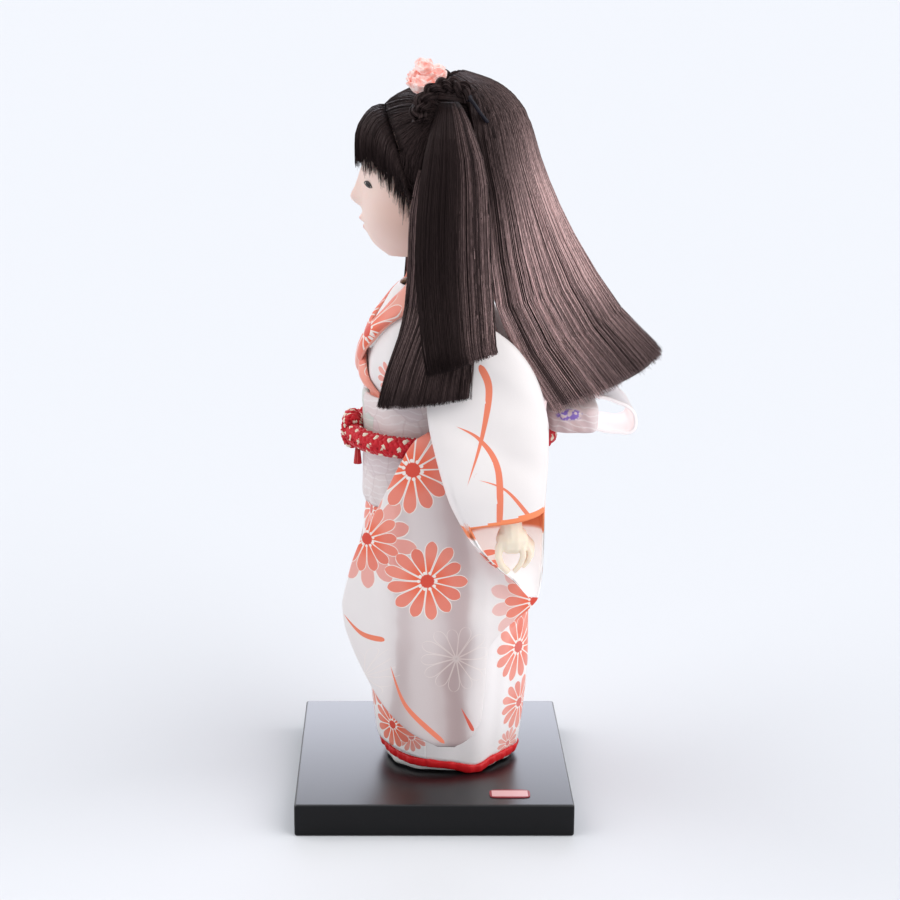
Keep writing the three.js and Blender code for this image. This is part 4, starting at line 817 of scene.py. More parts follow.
def put_print(obj, blooms, blades, facing):
    points = places(obj) / MM
    normals = np.empty(len(points) * 3, np.float32)
    obj.data.vertex_normals.foreach_get("vector", normals)
    normals = normals.reshape(-1, 3).astype(float)
    layers = {name: np.tile(BLANK, (len(points), 1)) for name in BLOOM_LAYERS + BLADE_LAYERS}
    least = {name: np.full(len(points), np.inf) for name in layers}

    def keep(name, score, values):
        pick = score < least[name]
        least[name][pick] = score[pick]
        layers[name][pick] = np.stack(np.broadcast_arrays(*values), -1)[pick]

    for x, y, height, radius, layer, fill, spin in blooms:
        centre = np.array((x, y, height + BOARD_TOP))
        found = near_spot(points, normals, centre, facing(centre))
        out = normals[found]
        up = np.array((0.0, 0.0, 1.0)) - out * out[2]
        up /= np.linalg.norm(up)
        side = np.cross(up, out)
        gap = points - points[found]
        across, rise, depth = gap @ side / radius, gap @ up / radius, gap @ out
        cosine, sine = math.cos(spin), math.sin(spin)
        across, rise = across * cosine - rise * sine, across * sine + rise * cosine
        far = np.hypot(across, rise)
        seen = (np.abs(depth) < 1.1 * radius) & (normals @ out > -0.1)
        shown = np.where(seen & (far < 1.2), fill, BLANK[2])
        keep("bloom_" + layer, far + 50 * ~seen, (across, rise, shown))
    for layer, half, shade, line in blades:
        line = smooth(at(*np.array(line, float).T), np.linspace(0, 1, BLADE_STEPS))
        far = np.linalg.norm(points[:, None, :] - line[None, :, :], axis=2)
        k = np.argmin(far, axis=1)
        along = np.gradient(line, axis=0)
        along /= np.linalg.norm(along, axis=1, keepdims=True)
        side = np.cross(along[k], normals)
        side /= np.linalg.norm(side, axis=1, keepdims=True) + 1e-9
        rest = points - line[k]
        across = np.sum(rest * side, axis=1)
        run = np.sum(np.linalg.norm(np.diff(line, axis=0), axis=1))
        share = np.clip(k / (BLADE_STEPS - 1) + np.sum(rest * along[k], axis=1) / run, 0, 1)
        far = far[np.arange(len(points)), k]
        seen = (far < 3.4) & (normals @ facing(line[BLADE_STEPS // 2]) > -0.1)
        keep("blade_" + layer, far, (share, across / half, np.where(seen, shade, BLANK[2])))
    for name, values in layers.items():
        layer = obj.data.attributes.new(name, "FLOAT_VECTOR", "POINT")
        layer.data.foreach_set("vector", values.astype(np.float32).ravel())


def outward(centre):
    way = np.array((centre[0], centre[1] - BODY_Y, 0.0))
    return way / np.linalg.norm(way)


def sideways(side):
    return lambda _: np.array((float(side), 0.0, 0.0))


def bloom_on(turn, height, radius, layer, fill, spin, offset=0.0):
    x, y, z = kimono(np.array([turn]), np.array([height]), offset)[0]
    return (x, y, z - BOARD_TOP, radius, layer, fill, spin)


def mirrored(side, blooms, blades):
    blooms = [(side * b[0], *b[1:6], b[6] * side + (0 if side > 0 else math.pi)) for b in blooms]
    blades = [(*blade[:3], [(side * x, y, height) for x, y, height in blade[3]]) for blade in blades]
    return blooms, blades


# Stand
BOARD_SIDE, BOARD_EDGE = 0.15, 0.0014
bpy.ops.object.select_all(action="DESELECT")
bpy.ops.mesh.primitive_cube_add(size=1, location=(0, 0, 0))
board = bpy.context.object
board.name = board.data.name = "lacquer_board"
thick = BOARD_TOP * MM
place(board, places(board) * np.array((BOARD_SIDE, BOARD_SIDE, thick)) + np.array((0, 0, thick / 2)))
apply(board, "BEVEL", width=BOARD_EDGE, segments=4, limit_method="NONE")
done(board, LACQUER, "stand", ("base_board",))
bpy.ops.object.shade_smooth_by_angle(angle=math.radians(40))

KEPT = {
    "label_plate": LABEL, "left_foot_peg": STEEL, "right_foot_peg": STEEL, "left_arm_wire": STEEL,
    "right_arm_wire": STEEL, "torso": WOOD, "neck_peg": WOOD, "left_leg": HAND, "right_leg": HAND,
}
for node, finish in KEPT.items():
    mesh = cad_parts[node].data
    mesh.materials.clear()
    mesh.materials.append(finish)


# Clothes on the body
KIMONO_TOP, PANEL_TOP = 270.0, 151.2
PANEL_START, PANEL_SWEEP = -62.0, 140.0
UNDERSKIRT_LOW, UNDERSKIRT_TALL = 1.4, 117.5
COLLAR_WIDTH = 13.0
ROBE_ARMHOLE, SLEEVE_ARMHOLE = 6.4, 11.3
# turn, width, reach
DRAPES = (
    (170, 7, 0.9), (196, 9, -0.8), (224, 8, 0.9), (128, 6, -0.7), (92, 7, 0.8), (-95, 8, -0.8),
)
# turn, width, height, half height, reach
PANEL_FOLDS = (
    (-14, 12, 60, 50, 2), (PANEL_START, 14, 40, 45, 1.5), (22, 9, 70, 60, 0.8), (4, 7, 80, 50, -0.6),
)


def skirt_detail(turn, height):
    drape = sum(r * bump(away(turn, c), 0, w) * ramp(height, 150, 60) for c, w, r in DRAPES)
    puff = 0.35 * np.sin(np.radians(turn) * 9 + height * 0.05) * bump(height, 140, 16)
    tuck = 0.5 * np.sin(np.radians(turn) * 15 + 1.3) * bump(height, 224, 14)
    return drape + puff + tuck


def kimono_shape(u, v):
    turn = 360 * u
    low = hem(turn)
    height = low + (KIMONO_TOP - low) * v
    return kimono(turn, height, skirt_detail(turn, height) - 0.1)


def from_shoulder(obj):
    spots = middles(obj)
    return np.hypot(spots[:, 1] - SHOULDER_Y, spots[:, 2] - BOARD_TOP - SHOULDER_HEIGHT), np.abs(spots[:, 0])


robe = grid("kimono_body_cloth", 170, 160, kimono_shape, closed=True)
far, aside = from_shoulder(robe)
drop_faces(robe, (far < ROBE_ARMHOLE) & (aside > 25))
thicken(robe, 0.001)
robe_blooms = [bloom_on(*bloom) for bloom in (
    (46, 27, 15, "a", 1.0, 0.3), (22, 40, 13, "b", 0.9, 0.9), (160, 34, 17, "a", 0.85, 0.1),
    (168, 97, 23, "b", 0.95, 0.5), (205, 48, 22, "b", 0.9, 0.2), (232, 106, 20, "a", 0.7, 1.2),
    (262, 40, 19, "c", 0.95, 0.0), (190, 20, 13, "c", 0.6, 0.7), (300, 34, 15, "a", 1.0, 0.6),
    (54, 222, 12, "a", 0.8, 0.2), (-46, 231, 12, "a", 0.8, 1.0), (180, 236, 20, "a", 0.95, 0.3),
    (140, 226, 14, "b", 0.6, 0.3), (222, 228, 14, "b", 0.8, 0.8), (155, 68, 21, "c", 0.9, 0.4),
    (150, 12, 10, "b", 0.7, 0.2),
)]
put_print(robe, robe_blooms, [], outward)
done(robe, PRINT, "doll_body", ("kimono_body",))


def panel_shape(u, v):
    turn = PANEL_START + PANEL_SWEEP * u
    merge = ramp(turn, 48, 76)
    low = hem(turn) + 3 - 2.6 * merge + 7 * ramp(turn, -30, PANEL_START)
    height = PANEL_TOP + (low - PANEL_TOP) * (1 - v)
    fold = sum(r * bump(turn, c, w) * bump(height, h, t) for c, w, h, t, r in PANEL_FOLDS)
    pucker = 0.4 * np.sin(np.radians(turn) * 16) * bump(height, 146, 10)
    loose = 2.5 + fold * ramp(height, PANEL_TOP, 121) + pucker
    return kimono(turn, height, loose * (1 - merge) + (skirt_detail(turn, height) + 0.35) * merge)


panel = grid("front_panel_cloth", 110, 100, panel_shape)
thicken(panel, 0.0012)
panel_blooms = [bloom_on(*bloom) for bloom in (
    (24, 148, 17, "a", 0.95, 0.2, 2), (-12, 96, 22, "b", 1.0, 0.4, 3), (18, 52, 20, "a", 0.95, 0.1, 3),
    (-36, 56, 17, "c", 0.7, 0.9, 3), (46, 27, 15, "b", 1.0, 0.3, 2), (52, 100, 17, "c", 0.6, 0.3, 2),
    (-44, 122, 15, "c", 0.9, 0.5, 2), (-6, 24, 13, "c", 0.9, 0.7, 3), (66, 22, 10, "a", 0.8, 0.5, 2),
)]
put_print(panel, panel_blooms, [], outward)
done(panel, PRINT, "doll_body", ("kimono_front_panel",))


def underskirt_shape(u, v):
    turn = 360 * u
    height = UNDERSKIRT_LOW + UNDERSKIRT_TALL * v
    frill = 0.5 * np.sin(np.radians(turn) * 12) * ramp(height, 40, 2)
    return kimono(turn, height, -1.6 + frill)


underskirt = grid("underskirt_cloth", 160, 60, underskirt_shape, closed=True)
thicken(underskirt, 0.001)
done(underskirt, COTTON, "doll_body", ("underskirt",))


def roll_shape(u, v):
    turn, ring = 360 * u, 2 * math.pi * v
    top = hem(turn) + 0.4
    low = np.maximum(hem(turn) - 4.9 - 2.4 * bump(away(turn, 112), 0, 4.5), 0.25)
    angle = np.radians(turn)
    pucker = 0.3 * np.sin(angle * 31) + 0.25 * np.sin(angle * 53 + 1) + 0.3 * np.sin(angle * 13)
    middle, half = (top + low) / 2, (top - low) / 2
    offset = -0.6 + (1.75 + pucker) * soften(np.cos(ring), 2.4)
    return kimono(turn, middle + half * soften(np.sin(ring), 2.6), offset)


roll = grid("red_hem_roll", 240, 24, roll_shape, closed=True)
done(roll, RED, "doll_body", ("hem_roll",))


def collar_shape(lift, offset, skip):
    def shape(u, v):
        share = skip + (1 - 2 * skip) * (1 - u)
        turn, level = between(COLLAR, 1, share), between(COLLAR, 2, share)
        from_nape = np.abs(share - 0.5)
        upright = ramp(from_nape, 0.26, 0.13)
        over = 1.8 * ramp(share, 0.72, 0.81)
        lean = np.where(share < 0.5, 1, -1) * (1 - upright)
        across = v - 0.5
        raised = np.where(across > 0, (lift * upright + 9 * bump(from_nape, 0.215, 0.07)) * 2 * across, 0)
        height = level + raised + across * COLLAR_WIDTH * (0.55 + 0.45 * upright)
        free = over * ramp(np.abs(away(turn, 0)), 12, 22)
        edge = (3.0 - 1.8 * upright + free) * np.abs(2 * across) ** 3
        tuck = ramp(height, 217, 212)
        out = (offset + over - edge) * (1 - tuck) + 1.5 * tuck
        return kimono(turn + across * COLLAR_WIDTH * lean, height, out)
    return shape


collar = grid("kimono_collar_cloth", 220, 16, collar_shape(0, 4.2, 0.0))
thicken(collar, 0.0013)
collar_blooms = [bloom_on(*bloom, 4) for bloom in (
    (22, 247, 25, "a", 1.0, 0.15), (88, 276, 20, "c", 1.0, 0.4), (-24, 247, 25, "b", 1.0, 0.3),
    (-88, 276, 20, "c", 1.0, 0.6), (180, 278, 17, "b", 1.0, 0.2),
)]
put_print(collar, collar_blooms, [], outward)
done(collar, COLLAR_PRINT, "doll_body", ("kimono_collar",))
under = grid("under_collar_cloth", 150, 12, collar_shape(1.2, 2.3, 5 / 28))
thicken(under, 0.0007)
done(under, COTTON, "doll_body", ("under_collar",))


# Obi, its tie, its cord and its bow
TIE_LOW, TIE_WIDTH = 170.0, 10.0
OBI_OFFSET = 4.4
PLAITS, CORD_THREAD, KNOT_THREAD = 6, 1.75, 1.15
TASSEL_THREADS, TASSEL_STEPS, TASSEL_TOP = 90, 9, 178.6
KNOT_HALF, KNOT_DEPTH, KNOT_LOW, KNOT_TALL = 13.0, 14.6, 177.0, 37.0
PILLOW_LONG, PILLOW_RADIUS, PILLOW_HEIGHT = 34.6, 6.7, 220.3
DRUM_WIDE, DRUM_DEEP, DRUM_TALL = 42.0, 52.0, 20.0
LOOP_HALF, LOOP_DEPTH, LOOP_TALL = 12.5, 14.5, 22.0


def tie_shape(u, v):
    turn = 360 * u
    return kimono(turn, TIE_LOW + TIE_WIDTH * v, 1.1 + 0.15 * np.sin(v * 14))


tie = grid("waist_tie_cloth", 120, 10, tie_shape, closed=True)
thicken(tie, 0.0006)
done(tie, RED, "doll_body", ("waist_tie",))


def obi_shape(u, v):
    turn = 360 * u
    angle = np.radians(turn)
    height = OBI_LOW + (OBI_HIGH - OBI_LOW) * v
    crimp = 0.5 * np.sin(angle * 26 + np.sin(angle * 5)) * bump(v, 0.02, 0.14)
    belt = -0.5 * bump(height, CORD_HEIGHT, 5)
    turned = 0.35 * ramp(v, 0.86, 0.88)
    edge = 0.9 * np.abs(2 * v - 1) ** 14
    return kimono(turn, height, OBI_OFFSET + 0.1 + crimp + belt + turned - edge)


band = grid("obi_band_cloth", 180, 44, obi_shape, closed=True)
thicken(band, 0.0028)
done(band, OBI, "doll_body", ("obi_band",))


def braid_paths(line, radius, count, pitch, fat):
    line = np.asarray(line, float)
    steps = len(line)
    along = np.gradient(line, axis=0)
    pace = np.linalg.norm(along, axis=1, keepdims=True)
    along /= pace
    side = np.cross(along, np.array((0.0, 0.0, 1.0)))
    flat = np.linalg.norm(side, axis=1, keepdims=True)
    side = np.where(flat > 0.2, side / np.maximum(flat, 1e-6), np.array((1.0, 0.0, 0.0)))
    up = np.cross(side, along)
    run = np.concatenate([[0], np.cumsum((pace[1:, 0] + pace[:-1, 0]) / 2)]) / pitch
    paths, tints = [], []
    for hand in (1, -1):
        for k in range(count):
            angle = 2 * math.pi * (hand * run + k / count)
            weave = hand * np.cos(count * hand * angle)
            out = radius - fat + 0.45 * fat * weave
            paths.append(line + out[:, None] * (np.cos(angle)[:, None] * side + np.sin(angle)[:, None] * up))
            tints.append(1.0 if hand > 0 and k % 3 == 0 else 0.0)
    return np.array(paths).reshape(-1, steps, 3), np.array(tints)


def robe_y(turn, height, offset=0.0):
    return kimono(np.array([float(turn)]), np.array([float(height)]), offset)[0, 1]


def cord_line(share):
    turn = 13 + 334 * share
    behind = ramp(np.abs(turn - 180), 62, 20)
    line = kimono(turn, np.full_like(turn, CORD_HEIGHT), CORD_OFFSET)
    line[:, 1] += KNOT_DEPTH * behind
    return line


line = cord_line(np.linspace(0, 1, 320))
paths, tints = braid_paths(line, CORD_RADIUS + 0.2, PLAITS, 17.0, CORD_THREAD)
cord = tubes("obi_cord_braid", paths, CORD_THREAD, 5, tints)
done(cord, CORD, "doll_body", ("obi_cord",))
knot_y = robe_y(0, CORD_HEIGHT, CORD_OFFSET) - 0.4
turn = np.linspace(0, 2 * math.pi, 64)
knots = []
for x, tall in ((-6, 6.6), (0, 7.2), (6, 6.6)):
    loop = at(x + 0.8 * np.sin(turn), knot_y + 2.6 * np.cos(turn), CORD_HEIGHT + tall * np.sin(turn))
    knots.append(braid_paths(loop, 3.2, PLAITS, 12.0, 1.1))
paths, tints = (np.concatenate(part) for part in zip(*knots))
knot = tubes("obi_cord_knot_braid", paths, KNOT_THREAD, 5, tints)
done(knot, CORD, "doll_body", ("obi_cord_knot",))

tail_y = robe_y(6, TASSEL_TOP + 0.1, OBI_OFFSET) - 3.0
root = RNG.uniform(-1, 1, (TASSEL_THREADS, 2))
root /= np.maximum(np.linalg.norm(root, axis=1, keepdims=True), 1)
drop = np.linspace(0, 1, TASSEL_STEPS)[None]
wide = 1.2 + 0.9 * drop
tuft = at(4 + 2 * drop + root[:, :1] * wide, tail_y + root[:, 1:] * wide, TASSEL_TOP - 8 * drop)
tassel = tubes("obi_cord_tassel", tuft, 0.34, 4, RNG.uniform(0, 0.08, TASSEL_THREADS))
done(tassel, CORD, "doll_body", ("obi_cord_tail",))

OBI_BACK = robe_y(180, CORD_HEIGHT, OBI_OFFSET)
KNOT_FRONT, KNOT_BACK = OBI_BACK + 0.6, OBI_BACK + KNOT_DEPTH


def knot_shape(u, v):
    turn = 360 * u
    end = np.clip(1 - np.abs(2 * v - 1) ** 9, 0, 1)
    grow = 1.5 * (2 * v - 1) ** 2 - 0.5 * np.sin(np.radians(turn) * 7) * bump(v, 0.5, 0.4)
    x, y = oval(turn, KNOT_HALF - grow, 7, 7 - grow, 3.2)
    return at(x * end, KNOT_FRONT + 7 + y * end, KNOT_LOW + KNOT_TALL * v)


obi_knot = grid("obi_knot_cloth", 90, 50, knot_shape, closed=True)
done(obi_knot, BOW, "doll_body", ("obi_knot",))
pillow_y = robe_y(180, 220) + 7.3


def pillow_shape(u, v):
    turn = 2 * math.pi * u
    full = np.clip(1 - np.abs(2 * v - 1) ** 5, 0, 1) ** 0.5
    radius = (PILLOW_RADIUS * full + 0.15 * np.sin(turn * 9)) * open_share(v)
    x = -PILLOW_LONG / 2 + PILLOW_LONG * v
    return at(x, pillow_y + radius * np.sin(turn), PILLOW_HEIGHT + 0.85 * radius * np.cos(turn))


pillow = grid("obi_pillow_pad", 50, 40, pillow_shape, closed=True)
done(pillow, COTTON, "doll_body", ("obi_pillow",))


def drum_shape(u, v):
    turn, x = 360 * u, -DRUM_WIDE / 2 + DRUM_WIDE * v
    y, z = oval(turn, DRUM_DEEP / 2, DRUM_TALL / 2, DRUM_TALL / 2, 3)
    crease = 0.5 * np.sin(y * 0.55 + 0.12 * x) * bump(np.abs(x), 14, 12)
    droop = -9 * ((y + DRUM_DEEP / 2) / DRUM_DEEP).clip(0) ** 1.6
    sag = 0.8 * bump(x, 0, 9) * np.sign(z)
    height = CORD_HEIGHT + 7.2 + DRUM_TALL / 2 + z + droop + crease * np.sign(z) * 0.5 - sag * 0.4
    return at(x, KNOT_BACK + DRUM_DEEP / 2 + 0.3 + y, height)


drum = grid("obi_drum_cloth", 150, 50, drum_shape, closed=True)
# the drum's inside takes the lining, which glows with painted light
inner = line_inside(drum, BOW, BOW_LINING, 0.0018)
done(drum, (BOW, BOW_LINING), "doll_body", ("obi_drum",))
drum.data.polygons.foreach_set("material_index", inner)


def loop_shape(side):
    def shape(u, v):
        turn = side * 360 * u
        full = np.clip(1 - np.abs(2 * v - 1) ** 6, 0, 1) ** 0.45
        x, y = oval(turn, LOOP_HALF, LOOP_DEPTH, LOOP_DEPTH, 2.8)
        x, y = x * full, y * full
        out = (x + LOOP_HALF) / (2 * LOOP_HALF)
        corner = ramp(y, 3, 14) * ramp(out, 0.45, 1)
        low = CORD_HEIGHT + 6.6 + 2 * (1 - out) - 1.6 * corner * ramp(v, 0.6, 0)
        pleat = 0.5 * np.sin(y * 0.9 + 5 * v) * full * (1 - 0.5 * out)
        pleat = pleat + 0.7 * bump(y, 3, 2.2) * out * ramp(v, 0.1, 0.7)
        tall = LOOP_TALL * (1 - 0.34 * out)
        reach = (1 - 0.16 * (1 - out)) * (1 + 0.05 * corner)
        return at(side * (33.8 + x - pleat * full), KNOT_BACK + 15.8 + y * reach, low + v * tall)
    return shape


for label, side in SIDES:
    loop = grid(label + "_bow_loop_cloth", 120, 44, loop_shape(side), closed=True)
    done(loop, BOW, "doll_body", (label + "_bow_loop",))

# Heights given with an arm's padding, its sleeve and the hair on it; these pieces are fixed in place and not
# bent
SHOULDER_BENDS = (262, 208)
BAG_BENDS = (205, 150)
BAG_LOW, BAG_TALL = 25.3, 175.0


# Padding, socks and hands keep the solids' own forms, rounded
def rounded_copy(node, name, cell, rounds):
    obj = copy_node(node, name)
    apply(obj, "REMESH", mode="VOXEL", voxel_size=cell)
    apply(obj, "SMOOTH", factor=0.5, iterations=rounds)
    return obj


for node, name, cell, rounds, bends in (
    ("leg_wadding", "leg_wadding_pad", 0.002, 6, None),
    ("left_arm_pad", "left_arm_padding", 0.0008, 6, bends_to("left_arm", *SHOULDER_BENDS)),
    ("right_arm_pad", "right_arm_padding", 0.0008, 6, bends_to("right_arm", *SHOULDER_BENDS)),
    ("left_tabi", "left_tabi_sock", 0.0006, 2, None),
    ("right_tabi", "right_tabi_sock", 0.0006, 2, None),
):
    pad = rounded_copy(node, name, cell, rounds)
    done(pad, COTTON, "doll_body", (node,), bends)

# Sleeves, their long bags and the hands
BAG_BLOOMS = [
    (57.4, -11.6, 180.6, 25, "c", 1.0, 0.2), (49.8, -36.3, 140.8, 29, "a", 0.72, 0.1),
    (49.8, -36.3, 140.8, 20, "b", 1.0, 0.35), (57.5, -3.6, 120.6, 23, "c", 1.0, 0.0),
    (49.0, 54.2, 105, 27, "a", 0.5, 0.1), (49.0, 54.2, 105, 19, "b", 1.0, 0.33),
    (58.1, 11.5, 76.6, 20, "b", 0.0, 0.2), (45, -43, 60, 15, "b", 0.0, 0.2),
]
BAG_BLADES = [
    ("a", 1.6, 0.0, [(40.9, -49.5, 95.9), (47.8, -39.7, 87.6), (52.4, -26.9, 85.3)]),
    ("b", 1.5, 0.0, [(53.1, -23.7, 71.4), (56.5, -15.6, 49.8), (57.6, 5.4, 28.4)]),
    ("a", 1.1, 0.7, [(58.7, 14.3, 49), (59.3, 18, 42), (59.9, 20.9, 36.3)]),
]
SLEEVE_BLOOMS = [(66, 30, 133, 13, "a", 1.0, 0.3), (62, 52.5, 108, 27, "b", 0.8, 0.1)]
SLEEVE_BLADES = [
    ("a", 2.0, 0.0, [(79.2, 15.7, 176.9), (71.6, 23.4, 201.8), (63.7, 27, 224.5), (59.7, 22.5, 236.2)]),
    ("b", 1.8, 0.0, [(68.8, 9.7, 206.9), (72.2, 22.4, 200.3), (77.5, 31.4, 185.9), (84, 32.2, 156)]),
    ("a", 1.2, 0.0, [(78.8, 21.3, 181), (80.5, 35, 176.2), (81.9, 46.8, 163.4), (82.3, 52, 157)]),
]


def bag_middle(y, height):
    curl = 17 * np.maximum((-8 - y) / 42, 0) ** 2
    ridge = 2.4 * bump(y, 21, 8) * ramp(height, 112, 95)
    dent = 2 * bump(y, -24, 7) * ramp(height, 150, 120)
    crease = 0.7 * bump(y + 0.12 * (height - 100), 2, 5) * bump(height, 95, 45)
    return SLEEVE_INSIDE + 1.5 - curl + ridge - 0.3 * np.maximum(y - 27, 0) - dent - crease


def bag_shape(side):
    def shape(u, v):
        turn = 2 * math.pi * u
        height = BAG_LOW + BAG_TALL * v
        front, back = between(BAG, 1, height), between(BAG, 2, height)
        share = 0.5 - 0.5 * np.cos(turn)
        y = front + (back - front) * share
        end = np.clip(np.minimum(v, 1 - v) / 0.02, 0, 1) ** 0.5
        swell = edge_sign(turn) * np.abs(np.sin(turn)) ** 0.7 * end * 1.85
        settle = 0 if side > 0 else 6 * ramp(height, 80, 112)
        return at(side * (bag_middle(y, height) + swell), y + settle, height)
    return shape


def cuff_edge(y):
    return 156 + 7.5 * (y - 23) / 31


def cuff_line(turn):
    rise = cuff_edge(20 + 34 * (turn - 40) / 125)
    opened = ramp(turn, 26, 44) * ramp(turn, 176, 163)
    return SLEEVE_LOW + (rise - SLEEVE_LOW) * opened


def sleeve_shape(side):
    def shape(u, v):
        turn = 360 * u if side > 0 else 360 * (1 - u)
        low = cuff_line(turn)
        height = low + (SLEEVE_HIGH - low) * v
        inside, outside, front, back = (between(SLEEVE, k, height) for k in (1, 2, 3, 4))
        half = (back - front) / 2
        x, y = oval(turn, (outside - inside) / 2, half, half, 2.5)
        end = 1 - ramp(v, 0.965, 1.0) ** 2
        facing_out = np.clip(np.sin(np.radians(turn)), 0, 1)
        fold = 0.8 * bump(height + 0.5 * y, 214, 9) - 0.9 * bump(height + 0.55 * y, 196, 7)
        fold = fold + 0.7 * bump(height + 0.7 * y, 240, 8)
        middle = SLEEVE_INSIDE + (inside + outside) / 2
        return at(side * (middle + x * end + fold * facing_out), (front + back) / 2 + y * end, height)
    return shape


for label, side in SIDES:
    arm = label + "_arm"
    sleeve = grid(label + "_sleeve_cloth", 160, 116, sleeve_shape(side), closed=True)
    far, aside = from_shoulder(sleeve)
    drop_faces(sleeve, (far < SLEEVE_ARMHOLE) & (aside < 47))
    inner = line_inside(sleeve, PRINT, LINING, 0.001)
    put_print(sleeve, *mirrored(side, SLEEVE_BLOOMS, SLEEVE_BLADES), sideways(side))
    # outer faces just above the cuff take the lining: its orange, with its faint painted glow
    spots = middles(sleeve)
    piped = spots[:, 2] - BOARD_TOP < cuff_edge(spots[:, 1]) + 2.2
    inner[piped & (np.abs(spots[:, 0]) > 74) & (spots[:, 2] > BOARD_TOP + 140)] = 1
    bends = bends_to(arm, *SHOULDER_BENDS)
    done(sleeve, (PRINT, LINING), "doll_body", (label + "_sleeve",), bends)
    sleeve.data.polygons.foreach_set("material_index", inner)

    bag = grid(label + "_sleeve_bag_cloth", 170, 150, bag_shape(side), closed=True)
    put_print(bag, *mirrored(side, BAG_BLOOMS, BAG_BLADES), sideways(side))
    bends = bends_to("doll_body", *BAG_BENDS)
    done(bag, BAG_PRINT, arm, (label + "_sleeve_bag",), bends)

    hand = rounded_copy(label + "_hand", label + "_hand_fine", 0.00045, 9)
    done(hand, HAND, arm, (label + "_hand",))


# Head
NECK_LOW, NECK_TALL, NECK_RADIUS = 266.4, 36.0, 15.0
EYE_X, EYE_HEIGHT, EYE_HALF, EYE_SLANT = 15.5, 323.2, 4.4, 0.16
UPPER_LID, LOWER_LID, LASH_STEPS = 1.5, 0.88, 30
NOSE_REACH = 5.8
# height, share of the nose's reach
NOSE = np.array([
    (308.3, 0), (310.3, 0.12), (312.2, 0.6), (314, 0.93), (316, 1), (318, 0.86), (321, 0.58), (325, 0.34),
    (332, 0),
])
# x, half width, height, half height, reach: lips, the crease between them, chin, cheeks, eye hollows
FEATURES = (
    (0, 5.5, 304.2, 1.9, 2.0), (0, 4.6, 299.2, 2.0, 1.4), (0, 6, 301.7, 0.8, -0.9), (0, 9, 291, 4, 0.7),
    (19, 9, 304, 9, 0.9), (15.5, 7, 324.5, 5, -1.2),
)


def features(x, height):
    nose = NOSE_REACH * np.interp(height, *NOSE.T) * bump(x, 0, 2.6 + 1.9 * ramp(height, 324, 313))
    beside = np.abs(x)
    return nose + sum(r * bump(beside, c, w) * bump(height, h, t) for c, w, h, t, r in FEATURES)


def face_y(x, height):
    half, front = between(HEAD, 1, height), between(HEAD, 2, height)
    sine = np.clip(np.abs(x) / half, 0, 1) ** (HEAD_SQUARENESS / 2)
    return HEAD_Y - front * np.sqrt(1 - sine**2) ** (2 / HEAD_SQUARENESS) - features(x, height)


def head_shape(u, v):
    turn = 360 * u - 26 * np.sin(np.radians(360 * u))
    height = HEAD_LOW + (HEAD_HIGH - HEAD_LOW) * v
    x, y = head_outline(turn, height)
    front = ramp(np.cos(np.radians(turn)), 0.2, 0.5)
    tip = open_share(v)
    return at(x * tip, HEAD_Y + (y - front * features(x, height)) * tip, height)


skull = grid("head_fine", 170, 150, head_shape, closed=True)


def neck_shape(u, v):
    turn = 360 * u
    height = NECK_LOW + NECK_TALL * v
    radius = NECK_RADIUS + 3.5 * ramp(height, 282, 302) + 0.5 * ramp(height, 272, 266)
    radius = radius * open_share(v)
    x, y = oval(turn, radius, radius, radius, 2)
    return at(x, BODY_Y + y, height)


neck = grid("neck_fine", 60, 30, neck_shape, closed=True)
join([skull, neck])
done(skull, SKIN, "head", ("head",))


def eye_place(side, wide, rise, proud):
    x, height = EYE_X + wide, EYE_HEIGHT + rise - EYE_SLANT * wide
    return at(side * x, face_y(x, height) - proud, height)


def eye_shape(side):
    def shape(u, v):
        angle = side * 2 * math.pi * u
        sine = np.sin(angle)
        lid = np.where(sine > 0, UPPER_LID, LOWER_LID) * np.sign(sine) * np.abs(sine) ** 1.3 * v
        return eye_place(side, EYE_HALF * np.cos(angle) * v, lid, 0.25 + 0.4 * (1 - v**2))
    return shape


def lash_line(side, reach):
    wide = np.linspace(-4.5, 5.1, LASH_STEPS)
    return eye_place(side, wide, reach * np.clip(1 - (wide / 4.5) ** 2, 0, 1) ** 0.65, 0.35)[None]


upper_size = 0.5 * np.sin(np.linspace(0.25, 3.0, LASH_STEPS)) + 0.08
lower_size = 0.12 + 0.1 * np.sin(np.linspace(0.2, 2.9, LASH_STEPS))
for label, side in SIDES:
    eye = grid(label + "_eye_fine", 48, 12, eye_shape(side), closed=True)
    thicken(eye, 0.0012)
    done(eye, GLASS, "head", (label + "_eye",))
    upper = tubes(label + "_upper_lash", lash_line(side, UPPER_LID), upper_size, 8)
    done(upper, LASH, "head")
    lower = tubes(label + "_lower_lid", lash_line(side, -LOWER_LID), lower_size, 6)
    done(lower, LASH, "head")


# Hair close to the head
CAP_LOW, CAP_TALL, CAP_TOP = 291.0, 80.5, 373.6
CAP_STEPS, SIDE_STRANDS, NAPE_STRANDS, CROWN_STRANDS = 9, 620, 260, 520
FRINGE_OFFSET, FRINGE_LEVELS = np.array(3.0), np.linspace(321, 369, 90)
FRINGE_TURN, FRINGE_STRANDS, FRINGE_TUFTS, TEMPLE_STRANDS = 83.0, 1700, 64, 240
STRAND_TINT = 0.042


def parting(height):
    y = -27.6 + (370 - height) * 0.3353
    share = np.clip((HEAD_Y - y) / between(HEAD, 2, height), -1, 1)
    return np.degrees(np.arccos(soften(share, 4 / HEAD_SQUARENESS)))


def cap_shape(u, v):
    height = CAP_LOW + CAP_TALL * v
    start = parting(height)
    turn = start + (360 - 2 * start) * u
    edge = np.minimum(u, 1 - u)
    points = head(turn, height, 2.4 * np.clip(edge / 0.02, 0, 1) ** 0.5)
    return np.where((v > 1 - 1e-6)[:, None], at(0, HEAD_Y, CAP_TOP), points)


